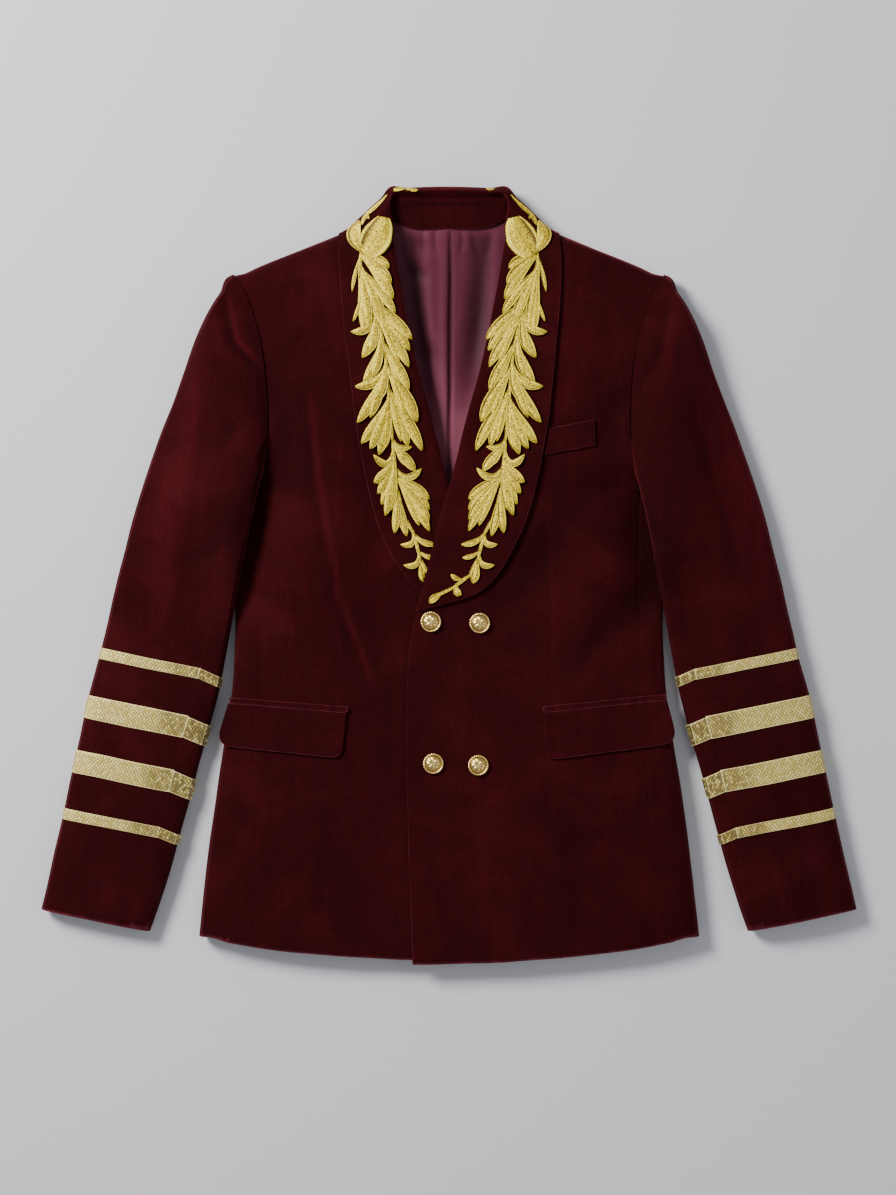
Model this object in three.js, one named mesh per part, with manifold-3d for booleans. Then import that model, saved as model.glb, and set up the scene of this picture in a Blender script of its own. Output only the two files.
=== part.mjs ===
// A double-breasted shawl-collar velvet blazer, laid flat on its back. Millimetres.
// +X is the wearer's left, +Y is towards the collar, +Z is up off the surface it lies on.
// The wearer's left front laps over the right one. "across" is a distance from the centre line
// towards the piece's own side, so one table serves the left and the right piece.
import * as THREE from 'three';
import { mergeVertices } from 'three/addons/utils/BufferGeometryUtils.js';
import Module from 'manifold-3d';

const wasm = await Module();
wasm.setup();

// ---- driving sizes ----
const wall = 2.2; // velvet with its fusing
const satinWall = 1.2;
const layGap = 0.4; // between a panel and what lies on it
const seamGap = 0.3; // between two sewn edges
const shoulderRadius = 11; // the shoulder edge of the flattened body
const neckLift = 3.2; // the back stands this far up, over the collar that is folded under it
const lapelWall = 2;
const facingReturn = 14; // how far the lapel turns back under the front
const foldRadius = 3.8; // outside of the lapel's rolled edge
const centreY = 0.785; // brings the outline's middle to the origin

const colours = { velvet: 0x3a0812, satin: 0x6f2f45, gold: 0xc9a24a, lame: 0xbfa766, metal: 0xd9b45c };
const velvet = () => new THREE.MeshStandardMaterial({ color: colours.velvet, roughness: 0.9 });
const satin = () => new THREE.MeshStandardMaterial({ color: colours.satin, roughness: 0.45 });
const thread = () => new THREE.MeshStandardMaterial({ color: colours.gold, roughness: 0.5, metalness: 0.4 });
const braid = () => new THREE.MeshStandardMaterial({ color: colours.lame, roughness: 0.4, metalness: 0.6 });
const metal = () => new THREE.MeshStandardMaterial({ color: colours.metal, roughness: 0.3, metalness: 1 });

// ---- tables ----
// The flattened body, hem to shoulder. The top surface falls from the crown to twice the side
// radius between fallFrom and fallTo; it lies thin where the sleeve rests on it.
const bodySections = [
  { y: -385, halfWidth: 247, sideRadius: 11, crown: 25, fallFrom: 172, fallTo: 236 },
  { y: -318, halfWidth: 240, sideRadius: 12, crown: 26, fallFrom: 166, fallTo: 228 },
  { y: -240, halfWidth: 230.5, sideRadius: 12.5, crown: 27, fallFrom: 156, fallTo: 218 },
  { y: -161, halfWidth: 218.5, sideRadius: 12.5, crown: 28, fallFrom: 146, fallTo: 206 },
  { y: -110, halfWidth: 211, sideRadius: 12.5, crown: 28, fallFrom: 140, fallTo: 198.5 },
  { y: -64, halfWidth: 208.5, sideRadius: 11.5, crown: 28, fallFrom: 142, fallTo: 197 },
  { y: -34, halfWidth: 207.5, sideRadius: 7, crown: 28, fallFrom: 152, fallTo: 199 },
  { y: -10, halfWidth: 211, sideRadius: 5, crown: 28, fallFrom: 160, fallTo: 201 },
  { y: 15, halfWidth: 218, sideRadius: 4.8, crown: 28, fallFrom: 158, fallTo: 196 },
  { y: 54, halfWidth: 233, sideRadius: 4.8, crown: 28, fallFrom: 151, fallTo: 189 },
  { y: 78, halfWidth: 238, sideRadius: 5.2, crown: 28, fallFrom: 146, fallTo: 183 },
  { y: 95, halfWidth: 239, sideRadius: 8, crown: 28, fallFrom: 140, fallTo: 181 },
  { y: 120, halfWidth: 240, sideRadius: 11.5, crown: 28, fallFrom: 118, fallTo: 180 },
  { y: 231, halfWidth: 245, sideRadius: 12, crown: 27.5, fallFrom: 105, fallTo: 190 },
  { y: 360, halfWidth: 245, sideRadius: 12, crown: 26.5, fallFrom: 105, fallTo: 205 },
];

// Soft troughs in the fronts: from one end to the other, with half-width and depth.
const bodyFolds = [
  { x0: 184, y0: -48, x1: 104, y1: -116, width: 11, depth: 2.2 },
  { x0: 76, y0: -40, x1: 52, y1: -104, width: 9, depth: 1.3 },
  { x0: -140, y0: 150, x1: -104, y1: 10, width: 9, depth: 1.2 },
  { x0: -100, y0: -20, x1: -66, y1: -112, width: 8, depth: 1.1 },
  { x0: 100, y0: 60, x1: 96, y1: 10, width: 8, depth: 1 },
  { x0: -205, y0: -78, x1: -170, y1: -108, width: 9, depth: 1.6 },
  { x0: 170, y0: 150, x1: 148, y1: 60, width: 13, depth: 1.4 },
  { x0: -172, y0: 140, x1: -150, y1: 60, width: 13, depth: 1.3 },
];

// Lower edge of the fronts and side panels.
const hemLine = [
  { across: -60, left: -378.5, right: -373.5 },
  { across: 0, left: -378.3, right: -374 },
  { across: 46, left: -376.8, right: -374.3 },
  { across: 121, left: -371, right: -369.5 },
  { across: 181, left: -364, right: -363.5 },
  { across: 216, left: -357.5, right: -357.5 },
  { across: 246, left: -352, right: -352 },
];

// Where the rows of each panel start, before the hem's curve is added.
const hemStart = { front: -379, sideSeam: -357.5, side: -352, back: -354.5 };

// Front edge, from the hem up and then along the inside of the roll line.
const frontEdge = [
  { y: -381, across: -35.3 },
  { y: -330, across: -37.2 },
  { y: -230, across: -40.2 },
  { y: -180, across: -41.7 },
  { y: -79, across: -40.2 },
  { y: -50, across: -36.5 },
  { y: -36, across: -29.6 },
  { y: 2.5, across: -18.2 },
  { y: 52, across: -6.4 },
  { y: 84, across: 3.2 },
  { y: 101, across: 8 },
  { y: 139, across: 16.9 },
  { y: 172, across: 25.8 },
  { y: 196, across: 33.4 },
  { y: 236, across: 41.5 },
  { y: 263, across: 47.3 },
  { y: 297, across: 53.1 },
  { y: 326, across: 57.9 },
  { y: 341, across: 60 },
];

// Where the front meets the side panel and, above it, the sleeve.
const frontSide = [
  { y: -361, across: 216.5 },
  { y: -304, across: 203.8 },
  { y: -190, across: 191.6 },
  { y: -112, across: 185.2 },
  { y: -54, across: 185.2 },
  { y: 77, across: 185.2 },
];
const armhole = [
  { y: 77, across: 185.2 },
  { y: 101, across: 180.6 },
  { y: 139, across: 176.4 },
  { y: 189, across: 177.9 },
  { y: 231, across: 184.2 },
  { y: 266, across: 197.4 },
  { y: 279, across: 201 },
];
const underArmY = 77; // top of the side panel's seam
const underArmDip = 19; // how far the side panel's top edge dips at the side

// Where the side panel meets the back, beneath.
const underSeam = [
  { y: -356, across: 197 },
  { y: -318, across: 190 },
  { y: -240, across: 180 },
  { y: -161, across: 169 },
  { y: -110, across: 163 },
  { y: -34, across: 161 },
  { y: 15, across: 168 },
  { y: 77, across: 184 },
];
const underGap = 1.2; // seams that rest on the surface

const shoulderLine = [
  { across: 50, y: 357 },
  { across: 64, y: 351 },
  { across: 110, y: 330.5 },
  { across: 159, y: 312 },
  { across: 186, y: 300.5 },
  { across: 215, y: 286 },
];
const shoulderOut = { across: 0.4, y: 0.917 }; // outward across the shoulder edge
const neckPoint = { across: 64, y: 351 };
const shoulderPoint = { across: 205.4, y: 289.2 };
const backNeckDip = 10.5; // from the neck points down to the centre back

// The sleeve, armhole to cuff: its two edges, its thickness, and how far it is lifted by
// the body's side under it.
const sleeveSections = [
  { outerX: 206.2, outerY: 288.8, innerX: 179.4, innerY: 108, thick: 24, lift: 0 },
  { outerX: 221, outerY: 275, innerX: 181, innerY: 98, thick: 24.5, lift: 5 },
  { outerX: 236, outerY: 250, innerX: 183.6, innerY: 90, thick: 25, lift: 9.5 },
  { outerX: 255, outerY: 211, innerX: 187.6, innerY: 74, thick: 25, lift: 11.6 },
  { outerX: 276, outerY: 152, innerX: 193, innerY: 46, thick: 25, lift: 11.6 },
  { outerX: 297, outerY: 94, innerX: 199.5, innerY: 16, thick: 25, lift: 11.6 },
  { outerX: 314, outerY: 35, innerX: 206, innerY: -14, thick: 24.5, lift: 10.5 },
  { outerX: 328, outerY: -24, innerX: 213, innerY: -52, thick: 24, lift: 5 },
  { outerX: 340, outerY: -75, innerX: 222, innerY: -99, thick: 23.5, lift: 1 },
  { outerX: 352, outerY: -118, innerX: 232.5, innerY: -142, thick: 23, lift: 0 },
  { outerX: 364, outerY: -175, innerX: 248, innerY: -198, thick: 23, lift: 0 },
  { outerX: 377, outerY: -236, innerX: 264, innerY: -258, thick: 22.5, lift: 0 },
  { outerX: 390, outerY: -292, innerX: 280, innerY: -314, thick: 22, lift: 0 },
  { outerX: 397.9, outerY: -325.9, innerX: 292, innerY: -347.4, thick: 21.5, lift: 0 },
];
const sleeveCrown = 3; // the sleeve's top bulges this much at mid-width
const liftReach = 26; // the sleeve comes down to the surface this far beyond the body's side
const forearmSeam = { left: 0.145, right: 0.175 }; // share of the sleeve's width, on top
const hindSeam = 0.87; // the same, beneath

// Soft troughs in the sleeves: s is the outer edge's y, a the distance from the inner edge.
const sleeveFolds = [
  { s0: 60, a0: 12, s1: 20, a1: 70, width: 10, depth: 1.6 },
  { s0: 10, a0: 14, s1: -20, a1: 56, width: 8, depth: 1.2 },
  { s0: 215, a0: 96, s1: 150, a1: 104, width: 12, depth: 1.8 },
  { s0: 120, a0: 42, s1: 40, a1: 55, width: 10, depth: 1.2 },
  { s0: -130, a0: 15, s1: -160, a1: 60, width: 9, depth: 1 },
];

// The braid bands, by the outer edge's y.
const bands = [
  { name: 'band_1', from: -70.6, to: -80.9 },
  { name: 'band_2', from: -116.7, to: -138.3 },
  { name: 'band_3', from: -170, to: -191.6 },
  { name: 'band_4', from: -226.5, to: -236.7 },
];
const bandWall = 0.8;

// Lapel: the roll line and the outer edge, from its lower end up to the shoulder, and how
// far its outer edge stands off the front.
const lapelStations = [
  { rollX: -33.4, rollY: -34.5, edgeX: -25.5, rightEdgeX: -25.5, edgeY: -34, lift: 1, rightLift: 0.9 },
  { rollX: -28.4, rollY: -21, edgeX: 0, rightEdgeX: 0, edgeY: -27.5, lift: 1.6, rightLift: 0.8 },
  { rollX: -22.5, rollY: 2.5, edgeX: 26.5, rightEdgeX: 24, edgeY: -19, lift: 2.4, rightLift: 0.6 },
  { rollX: -16.7, rollY: 25, edgeX: 44, rightEdgeX: 40, edgeY: -5, lift: 2.9, rightLift: 0.7 },
  { rollX: -10.8, rollY: 52.4, edgeX: 58.8, rightEdgeX: 56, edgeY: 18, lift: 3.1, rightLift: 0.8 },
  { rollX: -1, rollY: 83.8, edgeX: 71.5, rightEdgeX: 68, edgeY: 43.6, lift: 3.1, rightLift: 1 },
  { rollX: 3.9, rollY: 101.4, edgeX: 81.3, rightEdgeX: 77, edgeY: 74, lift: 3, rightLift: 1.6 },
  { rollX: 12.7, rollY: 138.7, edgeX: 90.2, rightEdgeX: 85, edgeY: 110.3, lift: 2.8, rightLift: 2.2 },
  { rollX: 21.6, rollY: 172, edgeX: 96, rightEdgeX: 90.5, edgeY: 147.5, lift: 2.6, rightLift: 2.5 },
  { rollX: 29.4, rollY: 196.5, edgeX: 100, rightEdgeX: 94.5, edgeY: 181.8, lift: 2.4, rightLift: 2.4 },
  { rollX: 37.2, rollY: 235.7, edgeX: 103.9, rightEdgeX: 100, edgeY: 221, lift: 2.1, rightLift: 2.1 },
  { rollX: 43.1, rollY: 263.1, edgeX: 106.8, rightEdgeX: 103.5, edgeY: 252.4, lift: 1.8, rightLift: 1.8 },
  { rollX: 49, rollY: 297.4, edgeX: 108.8, rightEdgeX: 105.5, edgeY: 284.7, lift: 1.4, rightLift: 1.4 },
  { rollX: 53.6, rollY: 323, edgeX: 109.4, rightEdgeX: 108.4, edgeY: 315, lift: 1.2, rightLift: 1.2 },
];

// Collar from the shoulder round to the centre back. Its roll: where it runs, how high it is, and
// the length and slope (180 is flat under the front) of the part that turns down inside the neck.
const neckRoll = [
  { rollX: 54.2, rollY: 328, crest: 28.6, reach: 14, tilt: 180 },
  { rollX: 54, rollY: 331, crest: 28.8, reach: 14, tilt: 178 },
  { rollX: 53.6, rollY: 334, crest: 29, reach: 14, tilt: 174 },
  { rollX: 53.3, rollY: 337, crest: 29.2, reach: 14, tilt: 168 },
  { rollX: 54.3, rollY: 340, crest: 29.4, reach: 14, tilt: 158 },
  { rollX: 54.5, rollY: 343.5, crest: 29.6, reach: 12.5, tilt: 144 },
  { rollX: 54.8, rollY: 347, crest: 29.8, reach: 11.5, tilt: 130 },
  { rollX: 55.4, rollY: 353, crest: 30.1, reach: 11, tilt: 116 },
  { rollX: 56.3, rollY: 360, crest: 30.5, reach: 10.5, tilt: 102 },
  { rollX: 55, rollY: 366, crest: 30.8, reach: 10, tilt: 84 },
  { rollX: 50, rollY: 368.6, crest: 31, reach: 9, tilt: 66 },
  { rollX: 38, rollY: 368.8, crest: 31, reach: 8, tilt: 56 },
  { rollX: 20, rollY: 368.3, crest: 31, reach: 8, tilt: 53 },
  { rollX: 0.2, rollY: 368, crest: 31, reach: 8, tilt: 52 },
];
// The outline it turns over at the same stations: which way that faces (degrees from +X), how far
// round it goes, and where its edge ends beneath.
const neckOutline = [
  { sideX: 110.4, sideY: 333.2, facing: 66, turn: 26, endX: 0, endY: 0 },
  { sideX: 109.2, sideY: 333.8, facing: 66, turn: 52, endX: 0, endY: 0 },
  { sideX: 107.8, sideY: 334.5, facing: 65, turn: 78, endX: 0, endY: 0 },
  { sideX: 106, sideY: 335.4, facing: 64, turn: 104, endX: 0, endY: 0 },
  { sideX: 103.8, sideY: 336.5, facing: 62, turn: 130, endX: 0, endY: 0 },
  { sideX: 101, sideY: 338, facing: 60, turn: 155, endX: 0, endY: 0 },
  { sideX: 97, sideY: 341, facing: 56, turn: 180, endX: 88, endY: 328 },
  { sideX: 90.5, sideY: 347, facing: 50, turn: 180, endX: 76, endY: 329 },
  { sideX: 84, sideY: 353.8, facing: 47, turn: 180, endX: 65, endY: 330 },
  { sideX: 72, sideY: 365.2, facing: 50, turn: 180, endX: 54, endY: 331 },
  { sideX: 57.5, sideY: 376, facing: 66, turn: 180, endX: 42, endY: 331.5 },
  { sideX: 39.5, sideY: 377.4, facing: 88, turn: 180, endX: 31, endY: 332 },
  { sideX: 20.5, sideY: 376.6, facing: 90, turn: 180, endX: 16, endY: 332 },
  { sideX: 0.2, sideY: 376.2, facing: 90, turn: 180, endX: 0.2, endY: 332 },
];
const neckStations = neckRoll.map((row, k) => ({ ...row, ...neckOutline[k] }));

// Pocket flaps, corners by "across" and y, and the piped edge above each.
const flaps = {
  left: { topIn: [93, -132.8], topOut: [211.7, -120.6], lowIn: [93, -179.4], lowOut: [220.5, -163.5] },
  right: { topIn: [99.5, -132.8], topOut: [214.6, -124], lowIn: [103, -178], lowOut: [224, -166] },
};
const flapWall = 2.4;
const flapCorner = 10;
const jetWidth = 5;
const jetWall = 2.8;
const welt = { topIn: [97, 142.4], topOut: [141.6, 151.4], lowIn: [93.6, 117.4], lowOut: [142.1, 125.9] };
const weltWall = 2;

// A shank button: a raised rim, a sunk ring and a domed middle, by share of the radius.
const buttonRadius = 10;
const buttonProfile = [
  { share: 0, high: 0 },
  { share: 0.92, high: 0 },
  { share: 1, high: 1.2 },
  { share: 0.99, high: 2.8 },
  { share: 0.91, high: 3.4 },
  { share: 0.8, high: 2.7 },
  { share: 0.64, high: 3.3 },
  { share: 0.36, high: 4.4 },
  { share: 0, high: 4.8 },
];
const buttons = [
  { name: 'button_upper_right', x: -17.6, y: -45.1 },
  { name: 'button_upper_left', x: 29.8, y: -46.4 },
  { name: 'button_lower_right', x: -15.3, y: -182.8 },
  { name: 'button_lower_left', x: 28.4, y: -184.4 },
];

// Embroidery: the stem of the spray, from the knot at the neck to the tail of the lapel.
const stem = [
  { y: 313, across: 85.5 },
  { y: 291, across: 87 },
  { y: 271, across: 84 },
  { y: 253, across: 70 },
  { y: 216, across: 62 },
  { y: 168, across: 58 },
  { y: 132, across: 55 },
  { y: 87, across: 51 },
  { y: 59, across: 45 },
  { y: 40, across: 34 },
  { y: 16, across: 28 },
  { y: 0, across: 20 },
  { y: -12, across: 4 },
  { y: -20, across: -12 },
];
// Fans of leaves. Each hangs from the stem at y; its tips run evenly from the first to the
// last. bow bends a leaf: above zero it hugs the stem and curls out, below zero it arches out.
const fans = [
  { y: 311, count: 3, firstX: 58, firstY: 298, lastX: 54, lastY: 268, wide: 9, bow: -2 },
  { y: 311, count: 1, firstX: 98, firstY: 271, lastX: 98, lastY: 271, wide: 6, bow: -3 },
  { y: 288, count: 2, firstX: 52, firstY: 254, lastX: 62, lastY: 244, wide: 8, bow: -2 },
  { y: 290, count: 1, firstX: 82, firstY: 234, lastX: 82, lastY: 234, wide: 9, bow: -1 },
  { y: 274, count: 1, firstX: 93, firstY: 246, lastX: 93, lastY: 246, wide: 4, bow: 1 },
  { y: 258, count: 2, firstX: 36, firstY: 229, lastX: 38, lastY: 218, wide: 9, bow: -3 },
  { y: 240, count: 1, firstX: 39, firstY: 202, lastX: 39, lastY: 202, wide: 8, bow: -2 },
  { y: 256, count: 1, firstX: 95, firstY: 236, lastX: 95, lastY: 236, wide: 7, bow: 8 },
  { y: 242, count: 1, firstX: 84, firstY: 211, lastX: 84, lastY: 211, wide: 9, bow: 3 },
  { y: 215, count: 1, firstX: 39, firstY: 179, lastX: 39, lastY: 179, wide: 8, bow: -2 },
  { y: 222, count: 1, firstX: 83, firstY: 187, lastX: 83, lastY: 187, wide: 9, bow: 4 },
  { y: 206, count: 1, firstX: 91, firstY: 183, lastX: 91, lastY: 183, wide: 8, bow: 8 },
  { y: 190, count: 1, firstX: 31, firstY: 149, lastX: 31, lastY: 149, wide: 10, bow: -3 },
  { y: 170, count: 2, firstX: 26, firstY: 121, lastX: 40, lastY: 125, wide: 9, bow: -2 },
  { y: 192, count: 2, firstX: 73, firstY: 168, lastX: 89, lastY: 148, wide: 9, bow: 3 },
  { y: 162, count: 3, firstX: 85, firstY: 128, lastX: 68, lastY: 117, wide: 9, bow: 2 },
  { y: 138, count: 1, firstX: 36, firstY: 125, lastX: 36, lastY: 125, wide: 5, bow: 8 },
  { y: 121, count: 1, firstX: 73, firstY: 117, lastX: 73, lastY: 117, wide: 7, bow: 11 },
  { y: 118, count: 1, firstX: 33, firstY: 101, lastX: 33, lastY: 101, wide: 8, bow: -1 },
  { y: 106, count: 1, firstX: 27, firstY: 104, lastX: 27, lastY: 104, wide: 6, bow: 10 },
  { y: 103, count: 4, firstX: 73, firstY: 90, lastX: 62, lastY: 58, wide: 8, bow: 2 },
  { y: 86, count: 4, firstX: 19, firstY: 74, lastX: 19, lastY: 43, wide: 8, bow: -2 },
  { y: 74, count: 2, firstX: 41, firstY: 38, lastX: 53, lastY: 41, wide: 7, bow: 1 },
  { y: 42, count: 1, firstX: 12, firstY: 30, lastX: 12, lastY: 30, wide: 5, bow: 4 },
  { y: 42, count: 1, firstX: 47, firstY: 30, lastX: 47, lastY: 30, wide: 5, bow: 7 },
  { y: 24, count: 1, firstX: 13, firstY: 17, lastX: 13, lastY: 17, wide: 4, bow: 2 },
  { y: 22, count: 1, firstX: 44, firstY: 10, lastX: 44, lastY: 10, wide: 5, bow: 7 },
  { y: 14, count: 1, firstX: 23, firstY: -8, lastX: 23, lastY: -8, wide: 7, bow: 1 },
  { y: -4, count: 1, firstX: 2, firstY: 1, lastX: 2, lastY: 1, wide: 4, bow: 2 },
  { y: -9, count: 1, firstX: 12, firstY: -19, lastX: 12, lastY: -19, wide: 6, bow: 3 },
  { y: -17, count: 1, firstX: -19, firstY: -27, lastX: -19, lastY: -27, wide: 6, bow: -1 },
];
// The knot at the top: a broad egg-shaped petal and a hooked one beside it.
const egg = { x: 70.5, y: 332, halfWide: 13.5, halfLong: 18.5, lean: 28, sides: 14 };
const hook = { x: 84, y: 311, tipX: 92, tipY: 342, wide: 15, bow: 10 };
const sprayWall = 1.2;
const sprayGap = 0.7;
const stemWidth = 4;
const knotOver = 0.4; // how far the knot goes round the outline at the neck

// ---- small helpers ----
const mix = (a, b, t) => a + (b - a) * t;
const clamp = (v, low, high) => Math.min(high, Math.max(low, v));
const smooth = (t) => {
  const c = clamp(t, 0, 1);
  return c * c * (3 - 2 * c);
};
const radians = (degrees) => (degrees * Math.PI) / 180;
const span = (count, from = 0, to = 1) => (
  Array.from({ length: count + 1 }, (_, i) => mix(from, to, i / count)));

// Reads a column of a table at a value of its key column, by a curve through the rows.
function read(table, key, at, column) {
  const rising = table[table.length - 1][key] > table[0][key];
  let i = 0;
  while (i < table.length - 2 && (rising ? at > table[i + 1][key] : at < table[i + 1][key])) i++;
  const [a, b] = [table[i], table[i + 1]];
  const [before, after] = [table[i - 1] ?? a, table[i + 2] ?? b];
  const step = b[key] - a[key];
  const slopeA = (b[column] - before[column]) / (b[key] - before[key]);
  const slopeB = (after[column] - a[column]) / (after[key] - a[key]);
  const t = clamp((at - a[key]) / step, 0, 1);
  const [t2, t3] = [t * t, t * t * t];
  return (2 * t3 - 3 * t2 + 1) * a[column] + (t3 - 2 * t2 + t) * step * slopeA
    + (3 * t2 - 2 * t3) * b[column] + (t3 - t2) * step * slopeB;
}

// Depth of the troughs in a table at a point, each fading towards its two ends.
function troughs(folds, keys, x, y) {
  let depth = 0;
  for (const fold of folds) {
    const [x0, y0, x1, y1] = keys.map((key) => fold[key]);
    const [dx, dy] = [x1 - x0, y1 - y0];
    const t = clamp(((x - x0) * dx + (y - y0) * dy) / (dx * dx + dy * dy), 0, 1);
    const off = Math.hypot(x - x0 - dx * t, y - y0 - dy * t) / fold.width;
    depth += fold.depth * Math.exp(-off * off) * Math.sin(Math.PI * clamp(t, 0.04, 0.96));
  }
  return depth;
}

// A closed wall from two grids of points, the outside and the inside of the cloth.
function wallBetween(outside, inside) {
  const [rows, cols] = [outside.length, outside[0].length];
  const points = [...outside.flat(), ...inside.flat()];
  const at = (layer, i, j) => layer * rows * cols + i * cols + j;
  const faces = [];
  const quad = (a, b, c, d) => faces.push(a, b, c, a, c, d);
  for (let i = 0; i < rows - 1; i++) {
    for (let j = 0; j < cols - 1; j++) {
      quad(at(0, i, j), at(0, i, j + 1), at(0, i + 1, j + 1), at(0, i + 1, j));
      quad(at(1, i, j), at(1, i + 1, j), at(1, i + 1, j + 1), at(1, i, j + 1));
    }
  }
  for (let j = 0; j < cols - 1; j++) {
    quad(at(0, 0, j), at(1, 0, j), at(1, 0, j + 1), at(0, 0, j + 1));
    quad(at(0, rows - 1, j), at(0, rows - 1, j + 1), at(1, rows - 1, j + 1), at(1, rows - 1, j));
  }
  for (let i = 0; i < rows - 1; i++) {
    quad(at(0, i, 0), at(0, i + 1, 0), at(1, i + 1, 0), at(1, i, 0));
    quad(at(0, i, cols - 1), at(1, i, cols - 1), at(1, i + 1, cols - 1), at(0, i + 1, cols - 1));
  }
  return solid(points, faces);
}

// A geometry with its faces pointing out.
function solid(points, faces) {
  let volume = 0;
  for (let f = 0; f < faces.length; f += 3) {
    const [a, b, c] = [0, 1, 2].map((k) => new THREE.Vector3(...points[faces[f + k]]));
    volume += a.dot(b.cross(c));
  }
  if (volume < 0) faces.reverse();
  const geometry = new THREE.BufferGeometry();
  geometry.setAttribute('position', new THREE.Float32BufferAttribute(points.flat(), 3));
  geometry.setIndex(faces);
  return geometry;
}

const blazer = new THREE.Group();

function add(name, geometry, material) {
  const mesh = new THREE.Mesh(geometry, material);
  mesh.name = name;
  mesh.position.y = centreY;
  blazer.add(mesh);
}

// Both sides of the body: sign turns "across" into x.
const sides = [
  { name: 'left', sign: 1 },
  { name: 'right', sign: -1 },
];

// ---- the body's surfaces ----
const bodyAt = (y, column) => read(bodySections, 'y', y, column);
const shoulderY = (across) => read(shoulderLine, 'across', across, 'y');

// How far the back stands up over the folded collar, near the neck.
function neckBase(x, y) {
  return neckLift * smooth((y - 268) / 42) * smooth((172 - Math.abs(x)) / 46);
}

// The right front and its lapel dip to pass under the left front.
function underlap(across, y) {
  const dip = mix(3.6, 8.6, smooth((y + 84) / 36)) * (1 - smooth((y - 92) / 110));
  return dip * smooth((112 - across) / 56);
}

// Height of the outside of the front at a place on it.
function frontHeight(side, across, y) {
  const [radius, crown] = [bodyAt(y, 'sideRadius'), bodyAt(y, 'crown')];
  const [fallFrom, fallTo] = [bodyAt(y, 'fallFrom'), bodyAt(y, 'fallTo')];
  const reach = Math.abs(across);
  const flat = mix(crown, 2 * radius, smooth((reach - fallFrom) / (fallTo - fallFrom)));
  const fromShoulder = (shoulderY(Math.max(reach, 50)) - y) * shoulderOut.y;
  const high = mix(2 * shoulderRadius, flat, smooth((fromShoulder - shoulderRadius) / 60));
  const keep = smooth((fallTo + 4 - reach) / 20) * smooth((fromShoulder - 20) / 25);
  const dent = troughs(bodyFolds, ['x0', 'y0', 'x1', 'y1'], across * side.sign, y) * keep;
  const dip = side.sign < 0 ? underlap(across, y) : 0;
  return high + neckBase(across, y) - dent - dip;
}

// A point on the shoulder's rounded edge: angle 0 is on top, 180 beneath, 90 the outline.
function shoulderEdge(across, y, angle, inset) {
  const out = shoulderRadius - (shoulderRadius - inset) * Math.sin(radians(angle));
  const rise = shoulderRadius + (shoulderRadius - inset) * Math.cos(radians(angle));
  return [across - shoulderOut.across * out, y - shoulderOut.y * out, rise + neckBase(across, y)];
}

// ---- fronts ----
const frontRows = [...span(11, 0, 0.64), ...span(8, 0.69, 1)];
const frontCols = [0, 0.03, 0.1, 0.2, 0.32, 0.44, 0.56, 0.68, 0.79, 0.9, 1];
const rollClear = 0.6; // the front stops short of the inside of the rolled edge
const sideSeamGap = 0.7; // wider, since the two edges' chords differ
const seamTurn = 88; // both sides of the shoulder seam stop just short of the outline

function frontPlan(side, t, u) {
  const seam = [neckPoint, shoulderPoint].map((p) => ({
    across: p.across - shoulderOut.across * shoulderRadius,
    y: p.y - shoulderOut.y * shoulderRadius,
  }));
  const innerY = mix(hemStart.front, seam[0].y, t);
  const outerY = mix(hemStart.sideSeam, seam[1].y, t);
  const inner = read(frontEdge, 'y', innerY, 'across') + rollClear * smooth((innerY + 44) / 10);
  const outer = read(outerY < underArmY ? frontSide : armhole, 'y', outerY, 'across');
  const across = mix(inner, outer - sideSeamGap, u);
  const straightHem = mix(hemStart.front, hemStart.sideSeam, u);
  const bow = (read(hemLine, 'across', across, side.name) - straightHem) * (1 - t) ** 6;
  return { across, y: mix(innerY, outerY, u) + bow };
}

function front(side) {
  const grid = (inset) => {
    const rows = frontRows.map((t) => frontCols.map((u) => {
      const { across, y } = frontPlan(side, t, u);
      return [across * side.sign, y, frontHeight(side, across, y) - inset];
    }));
    for (const angle of [30, 60, seamTurn]) {
      rows.push(frontCols.map((u) => {
        const across = mix(neckPoint.across, shoulderPoint.across - seamGap, u);
        const [x, y, z] = shoulderEdge(across, shoulderY(across), angle, inset);
        return [x * side.sign, y, z];
      }));
    }
    return rows;
  };
  return wallBetween(grid(0), grid(wall));
}

// ---- side panels: from the front's seam over the side edge to the seam beneath ----
const sideRows = [...span(11, 0, 0.75), 0.82, 0.88, 0.94, 1];

function sidePanel(side) {
  const stops = [0, 0.5, 1, 1.25, 1.5, 1.75, 2, 3]; // 1 to 2 goes round the side edge
  const grid = (inset) => sideRows.map((t) => stops.map((stop) => {
    const edgeShare = stop <= 2 ? stop / 2 : 3 - stop;
    const top = underArmY - 3 - underArmDip * Math.sin((Math.PI / 2) * clamp(edgeShare * 1.6, 0, 1));
    const seamAt = read(frontSide, 'y', mix(hemStart.sideSeam, underArmY, t), 'across');
    const hem = mix(hemStart.sideSeam, hemStart.side, clamp(stop, 0, 1)) + (stop > 2 ? 3 * (stop - 2) : 0);
    const y = mix(hem, top, t);
    const [width, radius] = [bodyAt(y, 'halfWidth'), bodyAt(y, 'sideRadius')];
    const tangent = width - radius;
    if (stop <= 1) {
      const across = mix(seamAt, tangent, stop);
      return [across * side.sign, y, frontHeight(side, across, y) - inset];
    }
    if (stop <= 2) {
      const angle = Math.PI * (stop - 1);
      const r = radius - inset;
      return [(tangent + r * Math.sin(angle)) * side.sign, y, radius + r * Math.cos(angle)];
    }
    const across = mix(tangent, read(underSeam, 'y', y, 'across') + seamGap, stop - 2);
    return [across * side.sign, y, inset];
  }));
  return wallBetween(grid(0), grid(wall));
}

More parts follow.
